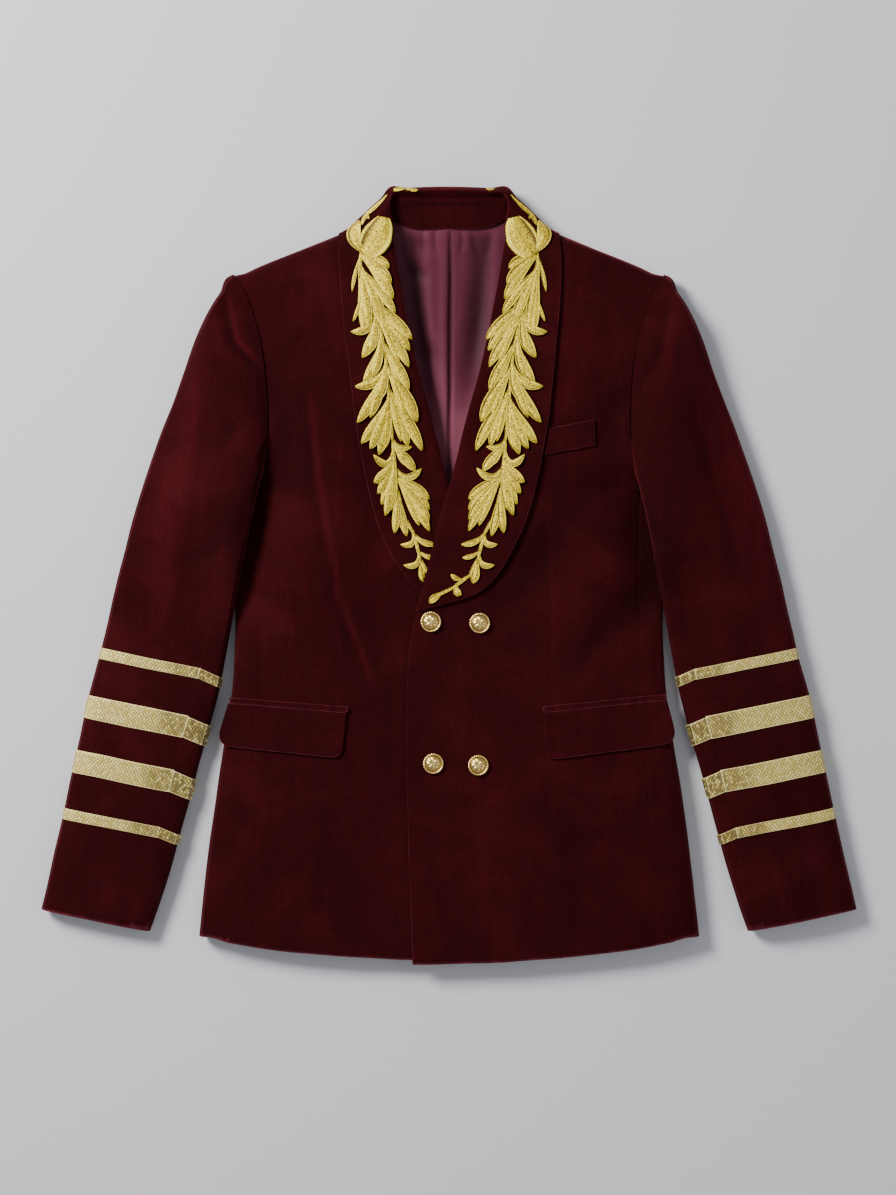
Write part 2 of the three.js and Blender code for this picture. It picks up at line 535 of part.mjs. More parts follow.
// ---- back: flat on the surface, turned up at the shoulders and a little at the neck ----
const backEdgeYs = [...sideRows.map((t) => mix(hemStart.back, underArmY - 3, t)), ...span(8, 92, 279.1)];
const backCols = [-1, -0.78, -0.56, -0.4, -0.31, -0.2, 0, 0.2, 0.31, 0.4, 0.56, 0.78, 1];

// Upper outline of the back: the shoulders and, between the neck points, the neck curve.
function backTop(across) {
  if (across >= neckPoint.across) return shoulderY(across);
  return neckPoint.y - backNeckDip * (1 - (across / neckPoint.across) ** 2);
}

function backLevel(x, y) {
  const fromNeck = backTop(Math.min(Math.abs(x), neckPoint.across)) - y;
  const turnUp = 4.5 * smooth((16 - fromNeck) / 16) * smooth((neckPoint.across + 6 - Math.abs(x)) / 18);
  return neckBase(x, y) + turnUp;
}

function back() {
  const edge = { across: 200.8, y: 279.1 };
  const tipInset = 1.2;
  const seamIn = shoulderOut.across * shoulderRadius; // from the outline to the shoulder's edge
  const neckTuck = shoulderRadius * 0.2; // the neck's edge stops this far short of its curve
  const innerTop = (share) => {
    const across = share * (shoulderPoint.across - tipInset);
    const onShoulder = smooth((across - neckPoint.across + 14) / 14);
    return { across, onShoulder, y: backTop(across) };
  };
  const grid = (inset) => {
    const rows = backEdgeYs.map((edgeY) => backCols.map((col) => {
      const share = Math.abs(col);
      const sign = Math.sign(col);
      const t = (edgeY - hemStart.back) / (edge.y - hemStart.back);
      const seam = edgeY < underArmY
        ? read(underSeam, 'y', edgeY, 'across')
        : read(armhole, 'y', edgeY, 'across') - underGap;
      const top = innerTop(share);
      const ratio = (top.across - seamIn * top.onShoulder) / (shoulderPoint.across - tipInset - seamIn);
      const across = mix(share, ratio, smooth((t - 0.8) / 0.2)) * (seam - seamGap);
      const seamDown = mix(neckTuck, shoulderRadius * shoulderOut.y, top.onShoulder);
      const lift = top.y - seamDown - edge.y;
      const hem = (read(hemLine, 'across', across, 'left') + 3 - hemStart.back) * (1 - t) ** 6;
      const y = edgeY + lift * smooth((t - 0.5) / 0.5) + hem;
      const x = across * sign;
      return [x, y, backLevel(x, y) + inset];
    }));
    for (const angle of [150, 120, 180 - seamTurn]) {
      rows.push(backCols.map((col) => {
        const top = innerTop(Math.abs(col));
        const round = shoulderEdge(top.across, top.y, angle, inset);
        const share = (180 - angle) / 90;
        const flatY = top.y - neckTuck * (1 - share);
        const flat = [top.across, flatY, backLevel(top.across, flatY) + inset];
        return round.map((value, k) => mix(flat[k], value, top.onShoulder) * (k === 0 ? Math.sign(col) : 1));
      }));
    }
    return rows;
  };
  return wallBetween(grid(0), grid(wall));
}

// ---- sleeves ----
const headShare = 0.93; // of the sleeve's head: from here it leaves the armhole's line
// A place on the sleeve seen from above: station is the outer edge's y, u runs from the
// inner edge (0) to the outer edge (1). At the armhole the line bows to the armhole's curve.
function sleevePlan(station, u) {
  const get = (column) => read(sleeveSections, 'outerY', station, column);
  const first = sleeveSections[0];
  const fade = smooth((station - 60) / (first.outerY - 60)) ** 2;
  const y = mix(first.innerY, first.outerY, u);
  const last = armhole[armhole.length - 1].across + 2 * seamGap;
  const onArmhole = u > headShare
    ? mix(last, first.outerX, (u - headShare) / (1 - headShare))
    : read(armhole, 'y', y, 'across') + seamGap;
  const bow = (onArmhole - mix(first.innerX, first.outerX, u)) * fade;
  return { across: mix(get('innerX'), get('outerX'), u) + bow, y: mix(get('innerY'), station, u) };
}

// A point of the sleeve's tube. turn: 0 to 1 over the top from the inner to the outer edge,
// 1 to 2 round the outer edge, 2 to 3 back beneath, 3 to 4 round the inner edge.
function sleevePoint(side, station, turn, inset) {
  const get = (column) => read(sleeveSections, 'outerY', station, column);
  const width = Math.hypot(get('outerX') - get('innerX'), station - get('innerY'));
  const radius = get('thick') / 2;
  const edge = radius / width;
  const quarter = turn % 4;
  let u;
  let level;
  if (quarter <= 1) {
    u = mix(edge, 1 - edge, quarter);
    const bulge = sleeveCrown * Math.sin(Math.PI * quarter);
    const dent = troughs(sleeveFolds, ['s0', 'a0', 's1', 'a1'], station, u * width);
    level = 2 * radius + bulge - dent - inset;
  } else if (quarter <= 2) {
    const angle = Math.PI * (quarter - 1);
    u = 1 - edge + (edge - inset / width) * Math.sin(angle);
    level = radius + (radius - inset) * Math.cos(angle);
  } else if (quarter <= 3) {
    u = mix(1 - edge, edge, quarter - 2);
    level = inset;
  } else {
    const angle = Math.PI * (quarter - 3);
    u = edge - (edge - inset / width) * Math.sin(angle);
    level = radius - (radius - inset) * Math.cos(angle);
  }
  const { across, y } = sleevePlan(station, u);
  const beyond = smooth((across - bodyAt(Math.min(y, 78), 'halfWidth')) / liftReach);
  return [across * side.sign, y, level + get('lift') * (1 - beyond)];
}

// The turn value at a share of the width, on top (forearm seam) or beneath (hind seam).
function seamTurnAt(station, u, beneath) {
  const get = (column) => read(sleeveSections, 'outerY', station, column);
  const edge = get('thick') / 2 / Math.hypot(get('outerX') - get('innerX'), station - get('innerY'));
  const share = clamp((u - edge) / (1 - 2 * edge), 0, 1);
  return beneath ? 3 - share : share;
}

const cuff = sleeveSections[sleeveSections.length - 1].outerY;
const sleeveStations = [288.8, 279, 262, 238, 205, 165, 120, 78, 35, -8, -44,
  ...bands.flatMap((band) => [band.from, band.to]), -98, -154, -209, -280, cuff].sort((a, b) => b - a);

function sleevePiece(side, stations, turnsAt, outset = 0, thickness = wall) {
  const grid = (inset) => stations.map((s) => turnsAt(s).map((turn) => sleevePoint(side, s, turn, inset)));
  return wallBetween(grid(-outset), grid(thickness - outset));
}

const seamShare = 0.0024; // half of a seam's gap, as a share of a turn
const roundEdge = [0.25, 0.5, 0.75];

function sleeve(side) {
  const fore = (station) => seamTurnAt(station, forearmSeam[side.name], false);
  const hind = (station) => seamTurnAt(station, hindSeam, true);
  // forearm seam, over the top, round the outer edge, to the hind seam
  const topTurns = (s) => [
    ...span(4, fore(s) + seamShare, 1),
    ...roundEdge.map((r) => 1 + r),
    2,
    hind(s) - seamShare,
  ];
  // hind seam, beneath, round the inner edge, to the forearm seam
  const underTurns = (s) => [
    ...span(4, hind(s) + seamShare, 3),
    ...roundEdge.map((r) => 3 + r),
    4,
    4 + fore(s) - seamShare,
  ];
  add(`top_sleeve_${side.name}`, sleevePiece(side, sleeveStations, topTurns), velvet());
  add(`under_sleeve_${side.name}`, sleevePiece(side, sleeveStations, underTurns), velvet());
  // the bands stop where the sleeve comes down flat on the surface
  const bandTop = (s) => topTurns(s).filter((turn) => turn < 2);
  const bandUnder = (s) => underTurns(s).filter((turn) => turn > 3);
  for (const band of bands) {
    const stations = [band.from, band.to];
    for (const [part, turns] of [['top', bandTop], ['under', bandUnder]]) {
      const strip = sleevePiece(side, stations, turns, seamGap + bandWall, bandWall);
      add(`${band.name}_${part}_${side.name}`, strip, braid());
    }
  }
}

// ---- lining, seen in the neck opening ----
const pleat = { across: 1, width: 3.2, rise: 1.6 };

function lining() {
  const columns = [-1, -0.6, -0.3, -0.1, -0.025, 0.01, 0.045, 0.12, 0.3, 0.6, 1];
  const grid = (drop) => span(11).map((t) => columns.map((u) => {
    const x = mix(55, 108, smooth(1.6 * t) * smooth((1 - t) * 4)) * u;
    const top = backTop(Math.min(Math.abs(x), neckPoint.across)) - 2.6;
    const y = mix(18, top, t);
    const fold = pleat.rise * Math.exp(-(((x - pleat.across) / pleat.width) ** 2)) * smooth(t * 3);
    const lift = seamGap + mix(0.2, 1.1, smooth((y - 240) / 50)) + 2.6 * smooth((y - 325) / 20);
    return [x, y, backLevel(x, y) + wall + lift + (drop ? 0 : satinWall + fold)];
  }));
  return wallBetween(grid(false), grid(true));
}

// ---- velvet band that stands inside the back of the neck ----
const standHalf = 55;

function stand() {
  const grid = (inset) => span(3).map((t) => span(12, -1, 1).map((u) => {
    const x = standHalf * u;
    const low = { y: backTop(Math.abs(x)) + 2.2, z: 12.6 + 1.6 * u ** 4 };
    const high = { y: 363.6 - 2.2 * u ** 6, z: 22.4 - 2.4 * u ** 4 };
    const slant = Math.hypot(high.y - low.y, high.z - low.z);
    const back = { y: (high.z - low.z) / slant, z: -(high.y - low.y) / slant };
    const bulge = 1.2 * Math.sin(Math.PI * t);
    const inward = inset - bulge;
    return [x, mix(low.y, high.y, t) + back.y * inward, mix(low.z, high.z, t) + back.z * inward];
  }));
  return wallBetween(grid(0), grid(lapelWall));
}

// ---- shawl collar: lapel, roll and the part that turns under or stands in the neck ----
const fallColumns = 7;
const foldSteps = 3;
const rollGap = 0.75; // between the front and the lapel lying on it, at the roll
const edgeRise = shoulderRadius + neckLift; // height of the rounded outline's middle

// A point on the part that falls outside the roll; share is 0 at the roll, 1 at its edge.
function lapelFall(side, row, share, inset) {
  const edgeX = side.sign > 0 ? row.edgeX : row.rightEdgeX;
  const lift = side.sign > 0 ? row.lift : row.rightLift;
  const length = Math.hypot(edgeX - row.rollX, row.edgeY - row.rollY);
  const along = mix(foldRadius / length, 1, share);
  const [across, y] = [mix(row.rollX, edgeX, along), mix(row.rollY, row.edgeY, along)];
  const stand = mix(rollGap, lift + 0.2, smooth(share));
  return [across, y, frontHeight(side, across, y) + stand + lapelWall - inset];
}

// With topOnly the share runs over the top and only the first part of the rounded outline.
function neckFall(row, share, inset, topOnly = false) {
  const facing = { across: Math.cos(radians(row.facing)), y: Math.sin(radians(row.facing)) };
  const reach = Math.hypot(row.sideX - row.rollX, row.sideY - row.rollY);
  const flatRadius = Math.min(edgeRise, Math.max(reach - foldRadius * 0.9, 3.6));
  const middle = Math.max(edgeRise, (row.crest / 2) * smooth((30 - reach) / 20));
  const start = {
    across: row.sideX - facing.across * flatRadius,
    y: row.sideY - facing.y * flatRadius,
  };
  const topRun = Math.hypot(start.across - row.rollX, start.y - row.rollY);
  const onFold = Math.min(foldRadius / topRun, 0.9);
  const arc = (radians(row.turn) * (flatRadius + middle)) / 2;
  const under = row.turn === 180 ? Math.hypot(row.endX - start.across, row.endY - start.y) : 0;
  const topLeft = topRun * (1 - onFold);
  const travelled = share * (topOnly ? topLeft + knotOver * arc : topLeft + arc + under);
  if (travelled <= topLeft) {
    const t = mix(onFold, 1, travelled / topLeft);
    const top = mix(row.crest, 2 * middle, (t - onFold) / (1 - onFold));
    return [mix(row.rollX, start.across, t), mix(row.rollY, start.y, t), top - inset];
  }
  if (travelled <= topLeft + arc) {
    const angle = (radians(row.turn) * (travelled - topLeft)) / arc;
    const out = (flatRadius - inset) * Math.sin(angle);
    const level = middle + (middle - inset) * Math.cos(angle);
    return [start.across + facing.across * out, start.y + facing.y * out, level];
  }
  const t = (travelled - topLeft - arc) / under;
  return [mix(start.across, row.endX, t), mix(start.y, row.endY, t), inset];
}

function collarSection(side, row, inset) {
  const onNeck = row.tilt !== undefined;
  const fall = (share) => (onNeck ? neckFall(row, share, inset) : lapelFall(side, row, share, inset));
  const points = span(fallColumns, 1, 0).map(fall);
  const top = onNeck ? neckFall(row, 0, 0) : lapelFall(side, row, 0, 0);
  const out = new THREE.Vector2(top[0] - row.rollX, top[1] - row.rollY).normalize();
  const tilt = onNeck ? row.tilt : 180;
  const reach = onNeck ? row.reach : facingReturn * smooth((row.rollY + 45) / 40);
  const place = (a, z) => [row.rollX + out.x * a, row.rollY + out.y * a, z];
  const middle = top[2] - foldRadius;
  for (let k = 1; k <= foldSteps; k++) {
    const angle = radians((tilt * k) / foldSteps);
    const r = foldRadius - inset;
    points.push(place(foldRadius - r * Math.sin(angle), middle + r * Math.cos(angle)));
  }
  const angle = radians(tilt);
  const r = foldRadius - inset;
  const end = place(
    foldRadius - r * Math.sin(angle) - reach * Math.cos(angle),
    middle + r * Math.cos(angle) - reach * Math.sin(angle),
  );
  if (!onNeck) end[2] += frontHeight(side, end[0], end[1]) - frontHeight(side, top[0], top[1]) - 0.9;
  points.push(end);
  return points;
}

const mirrored = (side, points) => points.map(([x, y, z]) => [x * side.sign, y, z]);

function collar(side) {
  const rows = [...lapelStations, ...neckStations];
  const grid = (inset) => rows.map((row) => mirrored(side, collarSection(side, row, inset)));
  return wallBetween(grid(0), grid(lapelWall));
}

// ---- what lies on the fronts ----
// A strip or flap on the front between four corners; roundness rounds its two lower corners.
function patch(side, corners, thickness, columns, rows, roundness) {
  const width = corners.topOut[0] - corners.topIn[0];
  const grid = (level) => rows.map((v) => columns.map((u) => {
    const fromEnd = Math.min(u, 1 - u) * width;
    const cut = fromEnd < roundness ? roundness - Math.sqrt(roundness ** 2 - (roundness - fromEnd) ** 2) : 0;
    const top = [0, 1].map((k) => mix(corners.topIn[k], corners.topOut[k], u));
    const low = [0, 1].map((k) => mix(corners.lowIn[k], corners.lowOut[k], u));
    const across = mix(top[0], low[0], v);
    const y = mix(top[1], low[1] + cut, v);
    return [across * side.sign, y, frontHeight(side, across, y) + layGap + level];
  }));
  return wallBetween(grid(thickness), grid(0));
}

function pocket(side) {
  const { topIn, topOut, lowIn, lowOut } = flaps[side.name];
  const flapCols = [0, 0.02, 0.05, 0.1, ...span(4, 0.25, 0.75), 0.9, 0.95, 0.98, 1];
  const flap = patch(side, { topIn, topOut, lowIn, lowOut }, flapWall, flapCols, span(3), flapCorner);
  const jet = patch(side, {
    topIn: [topIn[0] - 2, topIn[1] + seamGap + jetWidth],
    topOut: [topOut[0] - 1, topOut[1] + seamGap + jetWidth],
    lowIn: [topIn[0] - 2, topIn[1] + seamGap],
    lowOut: [topOut[0] - 1, topOut[1] + seamGap],
  }, jetWall, span(6), span(1), 0);
  add(`flap_${side.name}`, flap, velvet());
  add(`jet_${side.name}`, jet, velvet());
}

function button(place) {
  const points = buttonProfile.map(({ share, high }) => new THREE.Vector2(share * buttonRadius, high));
  const lathe = new THREE.LatheGeometry(points, 12);
  lathe.rotateX(Math.PI / 2);
  lathe.deleteAttribute('normal');
  lathe.deleteAttribute('uv');
  lathe.translate(place.x, place.y, frontHeight(sides[0], place.x, place.y) + layGap);
  return mergeVertices(lathe, 1e-3);
}

// ---- embroidery ----
// The outline of a leaf, seen from above, from its root on the stem to its tip.
function leafOutline(root, tip, wide, bow) {
  const steps = 3;
  const along = new THREE.Vector2(tip.x - root.x, tip.y - root.y);
  const aside = new THREE.Vector2(-along.y, along.x).normalize();
  if (aside.y > 0) aside.negate();
  const bend = new THREE.Vector2((root.x + tip.x) / 2, (root.y + tip.y) / 2).addScaledVector(aside, 2 * bow);
  const [from, to] = [root, tip].map((p) => new THREE.Vector2(p.x, p.y));
  const spine = new THREE.QuadraticBezierCurve(from, bend, to);
  const [left, right] = [[], []];
  for (let k = 0; k <= steps; k++) {
    const t = k / steps;
    const half = (wide / 2) * Math.sin(Math.PI * (0.08 + 0.92 * t ** 1.3));
    const tangent = spine.getTangent(t);
    const normal = new THREE.Vector2(-tangent.y, tangent.x);
    left.push(spine.getPoint(t).addScaledVector(normal, half));
    if (k < steps) right.unshift(spine.getPoint(t).addScaledVector(normal, -half));
  }
  return [...left, ...right];
}

function prism(outline, from = 15, to = 60) {
  const settings = { depth: to - from, bevelEnabled: false };
  const geometry = new THREE.ExtrudeGeometry(new THREE.Shape(outline), settings);
  geometry.translate(0, 0, from);
  return manifold(geometry);
}

function manifold(geometry) {
  const bare = geometry.clone();
  bare.deleteAttribute('normal');
  bare.deleteAttribute('uv');
  const merged = mergeVertices(bare, 1e-3);
  return new wasm.Manifold(new wasm.Mesh({
    numProp: 3,
    vertProperties: new Float32Array(merged.attributes.position.array),
    triVerts: new Uint32Array(merged.index.array),
  }));
}

function fromManifold(body) {
  const mesh = body.getMesh();
  const geometry = new THREE.BufferGeometry();
  geometry.setAttribute('position', new THREE.BufferAttribute(mesh.vertProperties, 3));
  geometry.setIndex(new THREE.BufferAttribute(mesh.triVerts, 1));
  return geometry;
}

// Plan outlines of all that a spray is made of.
function sprayOutlines() {
  const stemAt = (y) => ({ x: read(stem, 'y', y, 'across'), y });
  const outlines = [];
  for (const fan of fans) {
    for (let k = 0; k < fan.count; k++) {
      const t = fan.count > 1 ? k / (fan.count - 1) : 0;
      const tip = { x: mix(fan.firstX, fan.lastX, t), y: mix(fan.firstY, fan.lastY, t) };
      outlines.push(leafOutline(stemAt(fan.y), tip, fan.wide, fan.bow));
    }
  }
  outlines.push(leafOutline({ x: hook.x, y: hook.y }, { x: hook.tipX, y: hook.tipY }, hook.wide, hook.bow));
  outlines.push(span(egg.sides - 1).map((t) => {
    const angle = 2 * Math.PI * t * ((egg.sides - 1) / egg.sides);
    const [a, b] = [egg.halfWide * Math.cos(angle), egg.halfLong * Math.sin(angle)];
    const lean = radians(egg.lean);
    return new THREE.Vector2(
      egg.x + a * Math.cos(lean) - b * Math.sin(lean),
      egg.y + a * Math.sin(lean) + b * Math.cos(lean),
    );
  }));
  const line = span(16, stem[0].y, stem[stem.length - 1].y).map(stemAt);
  const edge = (offset) => line.map((p) => new THREE.Vector2(p.x + offset, p.y));
  outlines.push([...edge(stemWidth / 2), ...edge(-stemWidth / 2).reverse()]);
  return outlines;
}

function spray(side) {
  const rows = [...lapelStations.filter((row, k) => k !== 6), ...neckStations.slice(1, 9)];
  const shares = [0.985, 0.85, 0.65, 0.03]; // of the way from the roll to the outer edge
  const skin = (out) => rows.map((row) => shares.map((share) => (
    row.tilt === undefined ? lapelFall(side, row, share, -out) : neckFall(row, share, -out, true))));
  const slab = manifold(wallBetween(skin(sprayGap + sprayWall), skin(sprayGap)));
  let shape = sprayOutlines().map((outline) => prism(outline)).reduce((all, one) => all.add(one));
  shape = shape.intersect(slab);
  if (side.sign < 0) shape = shape.subtract(prism(coveredByLeft(), 0, 80));
  const body = shape.decompose().sort((a, b) => b.volume() - a.volume())[0];
  const geometry = fromManifold(body);
  if (side.sign > 0) return geometry;
  geometry.scale(-1, 1, 1);
  const index = Array.from(geometry.index.array).reverse();
  geometry.setIndex(index);
  return geometry;
}

// The part of the right lapel that the left front covers, in the right side's own "across".
function coveredByLeft() {
  const clear = 1.2;
  const line = lapelStations.slice(0, 9).map((row) => new THREE.Vector2(-row.rollX + clear, row.rollY));
  return [...line, new THREE.Vector2(-140, 172), new THREE.Vector2(-140, -80), new THREE.Vector2(40, -80)];
}

for (const side of sides) {
  add(`front_${side.name}`, front(side), velvet());
  add(`side_panel_${side.name}`, sidePanel(side), velvet());
  sleeve(side);
  add(`collar_${side.name}`, collar(side), velvet());
  pocket(side);
  add(`spray_${side.name}`, spray(side), thread());
}
add('back', back(), velvet());
add('lining_back', lining(), satin());
add('collar_stand', stand(), velvet());
add('breast_welt', patch(sides[0], welt, weltWall, span(4), span(2), 0), velvet());
for (const place of buttons) add(place.name, button(place), metal());

export default blazer;
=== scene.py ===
import math
import bmesh
import bpy
from mathutils import Matrix, Vector, noise
from mathutils.bvhtree import BVHTree


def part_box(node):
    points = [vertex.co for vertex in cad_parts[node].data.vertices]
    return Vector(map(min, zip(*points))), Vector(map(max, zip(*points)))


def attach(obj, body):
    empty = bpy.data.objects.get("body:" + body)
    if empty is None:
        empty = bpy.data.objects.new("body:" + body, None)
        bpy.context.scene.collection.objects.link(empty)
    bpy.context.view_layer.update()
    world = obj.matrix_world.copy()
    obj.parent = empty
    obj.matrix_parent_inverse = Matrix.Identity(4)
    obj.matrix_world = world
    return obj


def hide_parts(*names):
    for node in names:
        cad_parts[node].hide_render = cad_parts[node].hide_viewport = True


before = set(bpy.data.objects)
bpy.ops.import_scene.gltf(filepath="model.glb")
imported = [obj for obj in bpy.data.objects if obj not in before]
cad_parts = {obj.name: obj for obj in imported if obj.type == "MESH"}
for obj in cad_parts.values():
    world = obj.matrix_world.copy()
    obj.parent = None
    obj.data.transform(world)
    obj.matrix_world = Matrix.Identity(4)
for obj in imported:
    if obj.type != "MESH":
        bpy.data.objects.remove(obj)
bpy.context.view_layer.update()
print("frame loaded:", len(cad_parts), "solids")

mm = 0.001
sides = {"left": 1.0, "right": -1.0}  # the wearer's, as seen from the front


# camera, light and world
cameraPlan = {
    "lens": 85.0,
    "sensor": 36.0,
    "rows": 1195,  # of the frame, and what one of them shows at the garment's top
    "rowHigh": 0.972 * mm,
    "topLevel": 25 * mm,
    "centreX": -1.0 * mm,
    "centreY": -20.8 * mm,
}
viewHigh = cameraPlan["rows"] * cameraPlan["rowHigh"]
bpy.ops.object.camera_add()
camera = bpy.context.object
camera.name = "camera"
camera.data.lens = cameraPlan["lens"]
camera.data.sensor_fit = "VERTICAL"
camera.data.sensor_height = cameraPlan["sensor"]
camera.location = (
    cameraPlan["centreX"],
    cameraPlan["centreY"],
    cameraPlan["topLevel"] + viewHigh * cameraPlan["lens"] / cameraPlan["sensor"],
)
camera.rotation_euler = (0, 0, 0)
bpy.context.scene.camera = camera

lightPlan = {
    "key": {"place": (-1.65, 1.25, 1.8), "size": 0.95, "power": 124.0, "tint": (1.0, 0.99, 0.985)},
    "fill": {"place": (1.8, -0.6, 2.4), "size": 2.6, "power": 14.0, "tint": (0.97, 0.98, 1.0)},
}
for lightName, plan in lightPlan.items():
    bpy.ops.object.light_add(type="AREA", location=plan["place"])
    lamp = bpy.context.object
    lamp.name = lightName
    lamp.data.shape = "DISK"
    lamp.data.size = plan["size"]
    lamp.data.energy = plan["power"]
    lamp.data.color = plan["tint"]
    lamp.rotation_euler = (-lamp.location).to_track_quat("-Z", "Y").to_euler()

worldLook = {"colour": (0.93, 0.95, 1.0, 1), "strength": 0.40}
world = bpy.data.worlds.new("studio")
world.use_nodes = True
background = world.node_tree.nodes["Background"]
background.inputs["Color"].default_value = worldLook["colour"]
background.inputs["Strength"].default_value = worldLook["strength"]
bpy.context.scene.world = world


# material tools
class NodeSheet:
    # adds and joins nodes in one tree
    def __init__(self, tree):
        self.tree = tree

    def add(self, kind, values=None, **settings):
        node = self.tree.nodes.new(kind)
        for key, value in settings.items():
            setattr(node, key, value)
        for key, value in (values or {}).items():
            self.put(node.inputs[key], value)
        return node

    def put(self, socket, value):
        if isinstance(value, bpy.types.NodeSocket):
            self.tree.links.new(value, socket)
        else:
            socket.default_value = value

    def maths(self, operation, *values, clamp=False):
        node = self.add("ShaderNodeMath", operation=operation, use_clamp=clamp)
        for socket, value in zip(node.inputs, values):
            self.put(socket, value)
        return node.outputs[0]

    def blend(self, factor, a, b):
        node = self.add("ShaderNodeMix", data_type="RGBA", blend_type="MIX")
        self.put(node.inputs[0], factor)
        self.put(node.inputs[6], a)
        self.put(node.inputs[7], b)
        return node.outputs[2]

    def ramp(self, factor, low, high):
        limits = {"From Min": low, "From Max": high}
        node = self.add("ShaderNodeMapRange", limits, interpolation_type="SMOOTHSTEP")
        self.put(node.inputs["Value"], factor)
        return node.outputs["Result"]

    def place(self):
        return self.add("ShaderNodeTexCoord").outputs["Object"]

    def mask(self, name):
        return self.add("ShaderNodeAttribute", attribute_name=name).outputs["Fac"]

    def grain(self, place, size, detail, roughness, distortion=0.0):
        values = {"Vector": place, "Scale": size, "Detail": detail, "Roughness": roughness,
                  "Distortion": distortion}
        return self.add("ShaderNodeTexNoise", values).outputs[0]

    def bump(self, height, strength, distance, under=None, invert=False):
        values = {"Height": height, "Strength": strength, "Distance": distance}
        if under is not None:
            values["Normal"] = under
        return self.add("ShaderNodeBump", values, invert=invert).outputs[0]


def newMaterial(name):
    material = bpy.data.materials.new(name)
    material.use_nodes = True
    sheet = NodeSheet(material.node_tree)
    shader = material.node_tree.nodes["Principled BSDF"]
    return material, sheet, shader


def setSheen(shader, look):
    shader.inputs["Specular IOR Level"].default_value = look["specular"]
    shader.inputs["Sheen Weight"].default_value = look["sheen"]
    shader.inputs["Sheen Roughness"].default_value = look["sheenRoughness"]
    shader.inputs["Sheen Tint"].default_value = look["sheenTint"]


def coat(sheet, shader, colour, roughness, normal):
    for label, value in (("Base Color", colour), ("Roughness", roughness), ("Normal", normal)):
        sheet.put(shader.inputs[label], value)


def newGroup(name, inputs, outputs):
    group = bpy.data.node_groups.new(name, "ShaderNodeTree")
    for label, kind, value in inputs:
        socket = group.interface.new_socket(label, in_out="INPUT", socket_type=kind)
        if value is not None:
            socket.default_value = value
    for label, kind in outputs:
        group.interface.new_socket(label, in_out="OUTPUT", socket_type=kind)
    sheet = NodeSheet(group)
    return group, sheet, sheet.add("NodeGroupInput").outputs, sheet.add("NodeGroupOutput").inputs


def placeGroup(sheet, group, values):
    node = sheet.add("ShaderNodeGroup", node_tree=group)
    for key, value in values.items():
        sheet.put(node.inputs[key], value)
    return node.outputs


napLook = {
    # sizes count to a metre
    "patchSize": 13.0,
    "streakSize": 90.0,
    "fibreSize": 760.0,
    "rumpleSize": 150.0,
    "stretch": 0.16,  # streaks and rumples run down the garment
    "patchRange": (0.42, 0.72),
    "streakRange": (0.46, 0.7),
}


def makeNapGroup(look):
    # where the pile lies the other way, and the height of its fibres
    group, sheet, given, out = newGroup(
        "clothNap",
        [("Vector", "NodeSocketVector", None), ("Patch Size", "NodeSocketFloat", look["patchSize"]),
         ("Streak Size", "NodeSocketFloat", look["streakSize"])],
        [("Patch", "NodeSocketFloat"), ("Streak", "NodeSocketFloat"), ("Fibre", "NodeSocketFloat"),
         ("Rumple", "NodeSocketFloat")],
    )
    stretched = {"Vector": given["Vector"], "Scale": (1.0, look["stretch"], 1.0)}
    stretch = sheet.add("ShaderNodeMapping", stretched).outputs[0]
    patch = sheet.grain(given["Vector"], given["Patch Size"], 5.0, 0.62, 0.5)
    streak = sheet.grain(stretch, given["Streak Size"], 4.0, 0.6)
    sheet.put(out["Patch"], sheet.ramp(patch, *look["patchRange"]))
    sheet.put(out["Streak"], sheet.ramp(streak, *look["streakRange"]))
    sheet.put(out["Fibre"], sheet.grain(given["Vector"], look["fibreSize"], 2.0, 0.7))
    sheet.put(out["Rumple"], sheet.grain(stretch, look["rumpleSize"], 3.0, 0.55))
    return group


napGroup = makeNapGroup(napLook)

velvetLook = {
    "deep": (0.0150, 0.0007, 0.0012, 1),
    "nap": (0.043, 0.0018, 0.0031, 1),
    "paintedHighlight": (0.072, 0.0044, 0.0088, 1),  # painted highlight
    # painted sheen on the rims, where the velvet turns down
    "paintedRimSheen": (0.115, 0.018, 0.030, 1),
    # shares of each mark in the nap's colour
    "patchShare": 0.42,
    "streakShare": 0.16,
    "speckShare": 0.46,
    "speckRange": (0.35, 0.7),
    "paintedFoldShade": 0.9,  # painted shade: the folds are made darker
    "spotty": 1.1,  # a painted highlight shows more on the rumples
    "wear": (0.5, 0.45),  # painted sheen of the rims: more on the streaks, and everywhere
    "rimSheenRange": (0.45, 1.0),
    "roughness": (-0.1, 0.92),
    "fibreBump": (0.3, 0.0004),
    "rumpleBump": (0.18, 0.003),
    "specular": 0.06,
    "sheen": 0.30,
    "sheenRoughness": 0.34,
    "sheenTint": (1.0, 0.12, 0.16, 1),
}


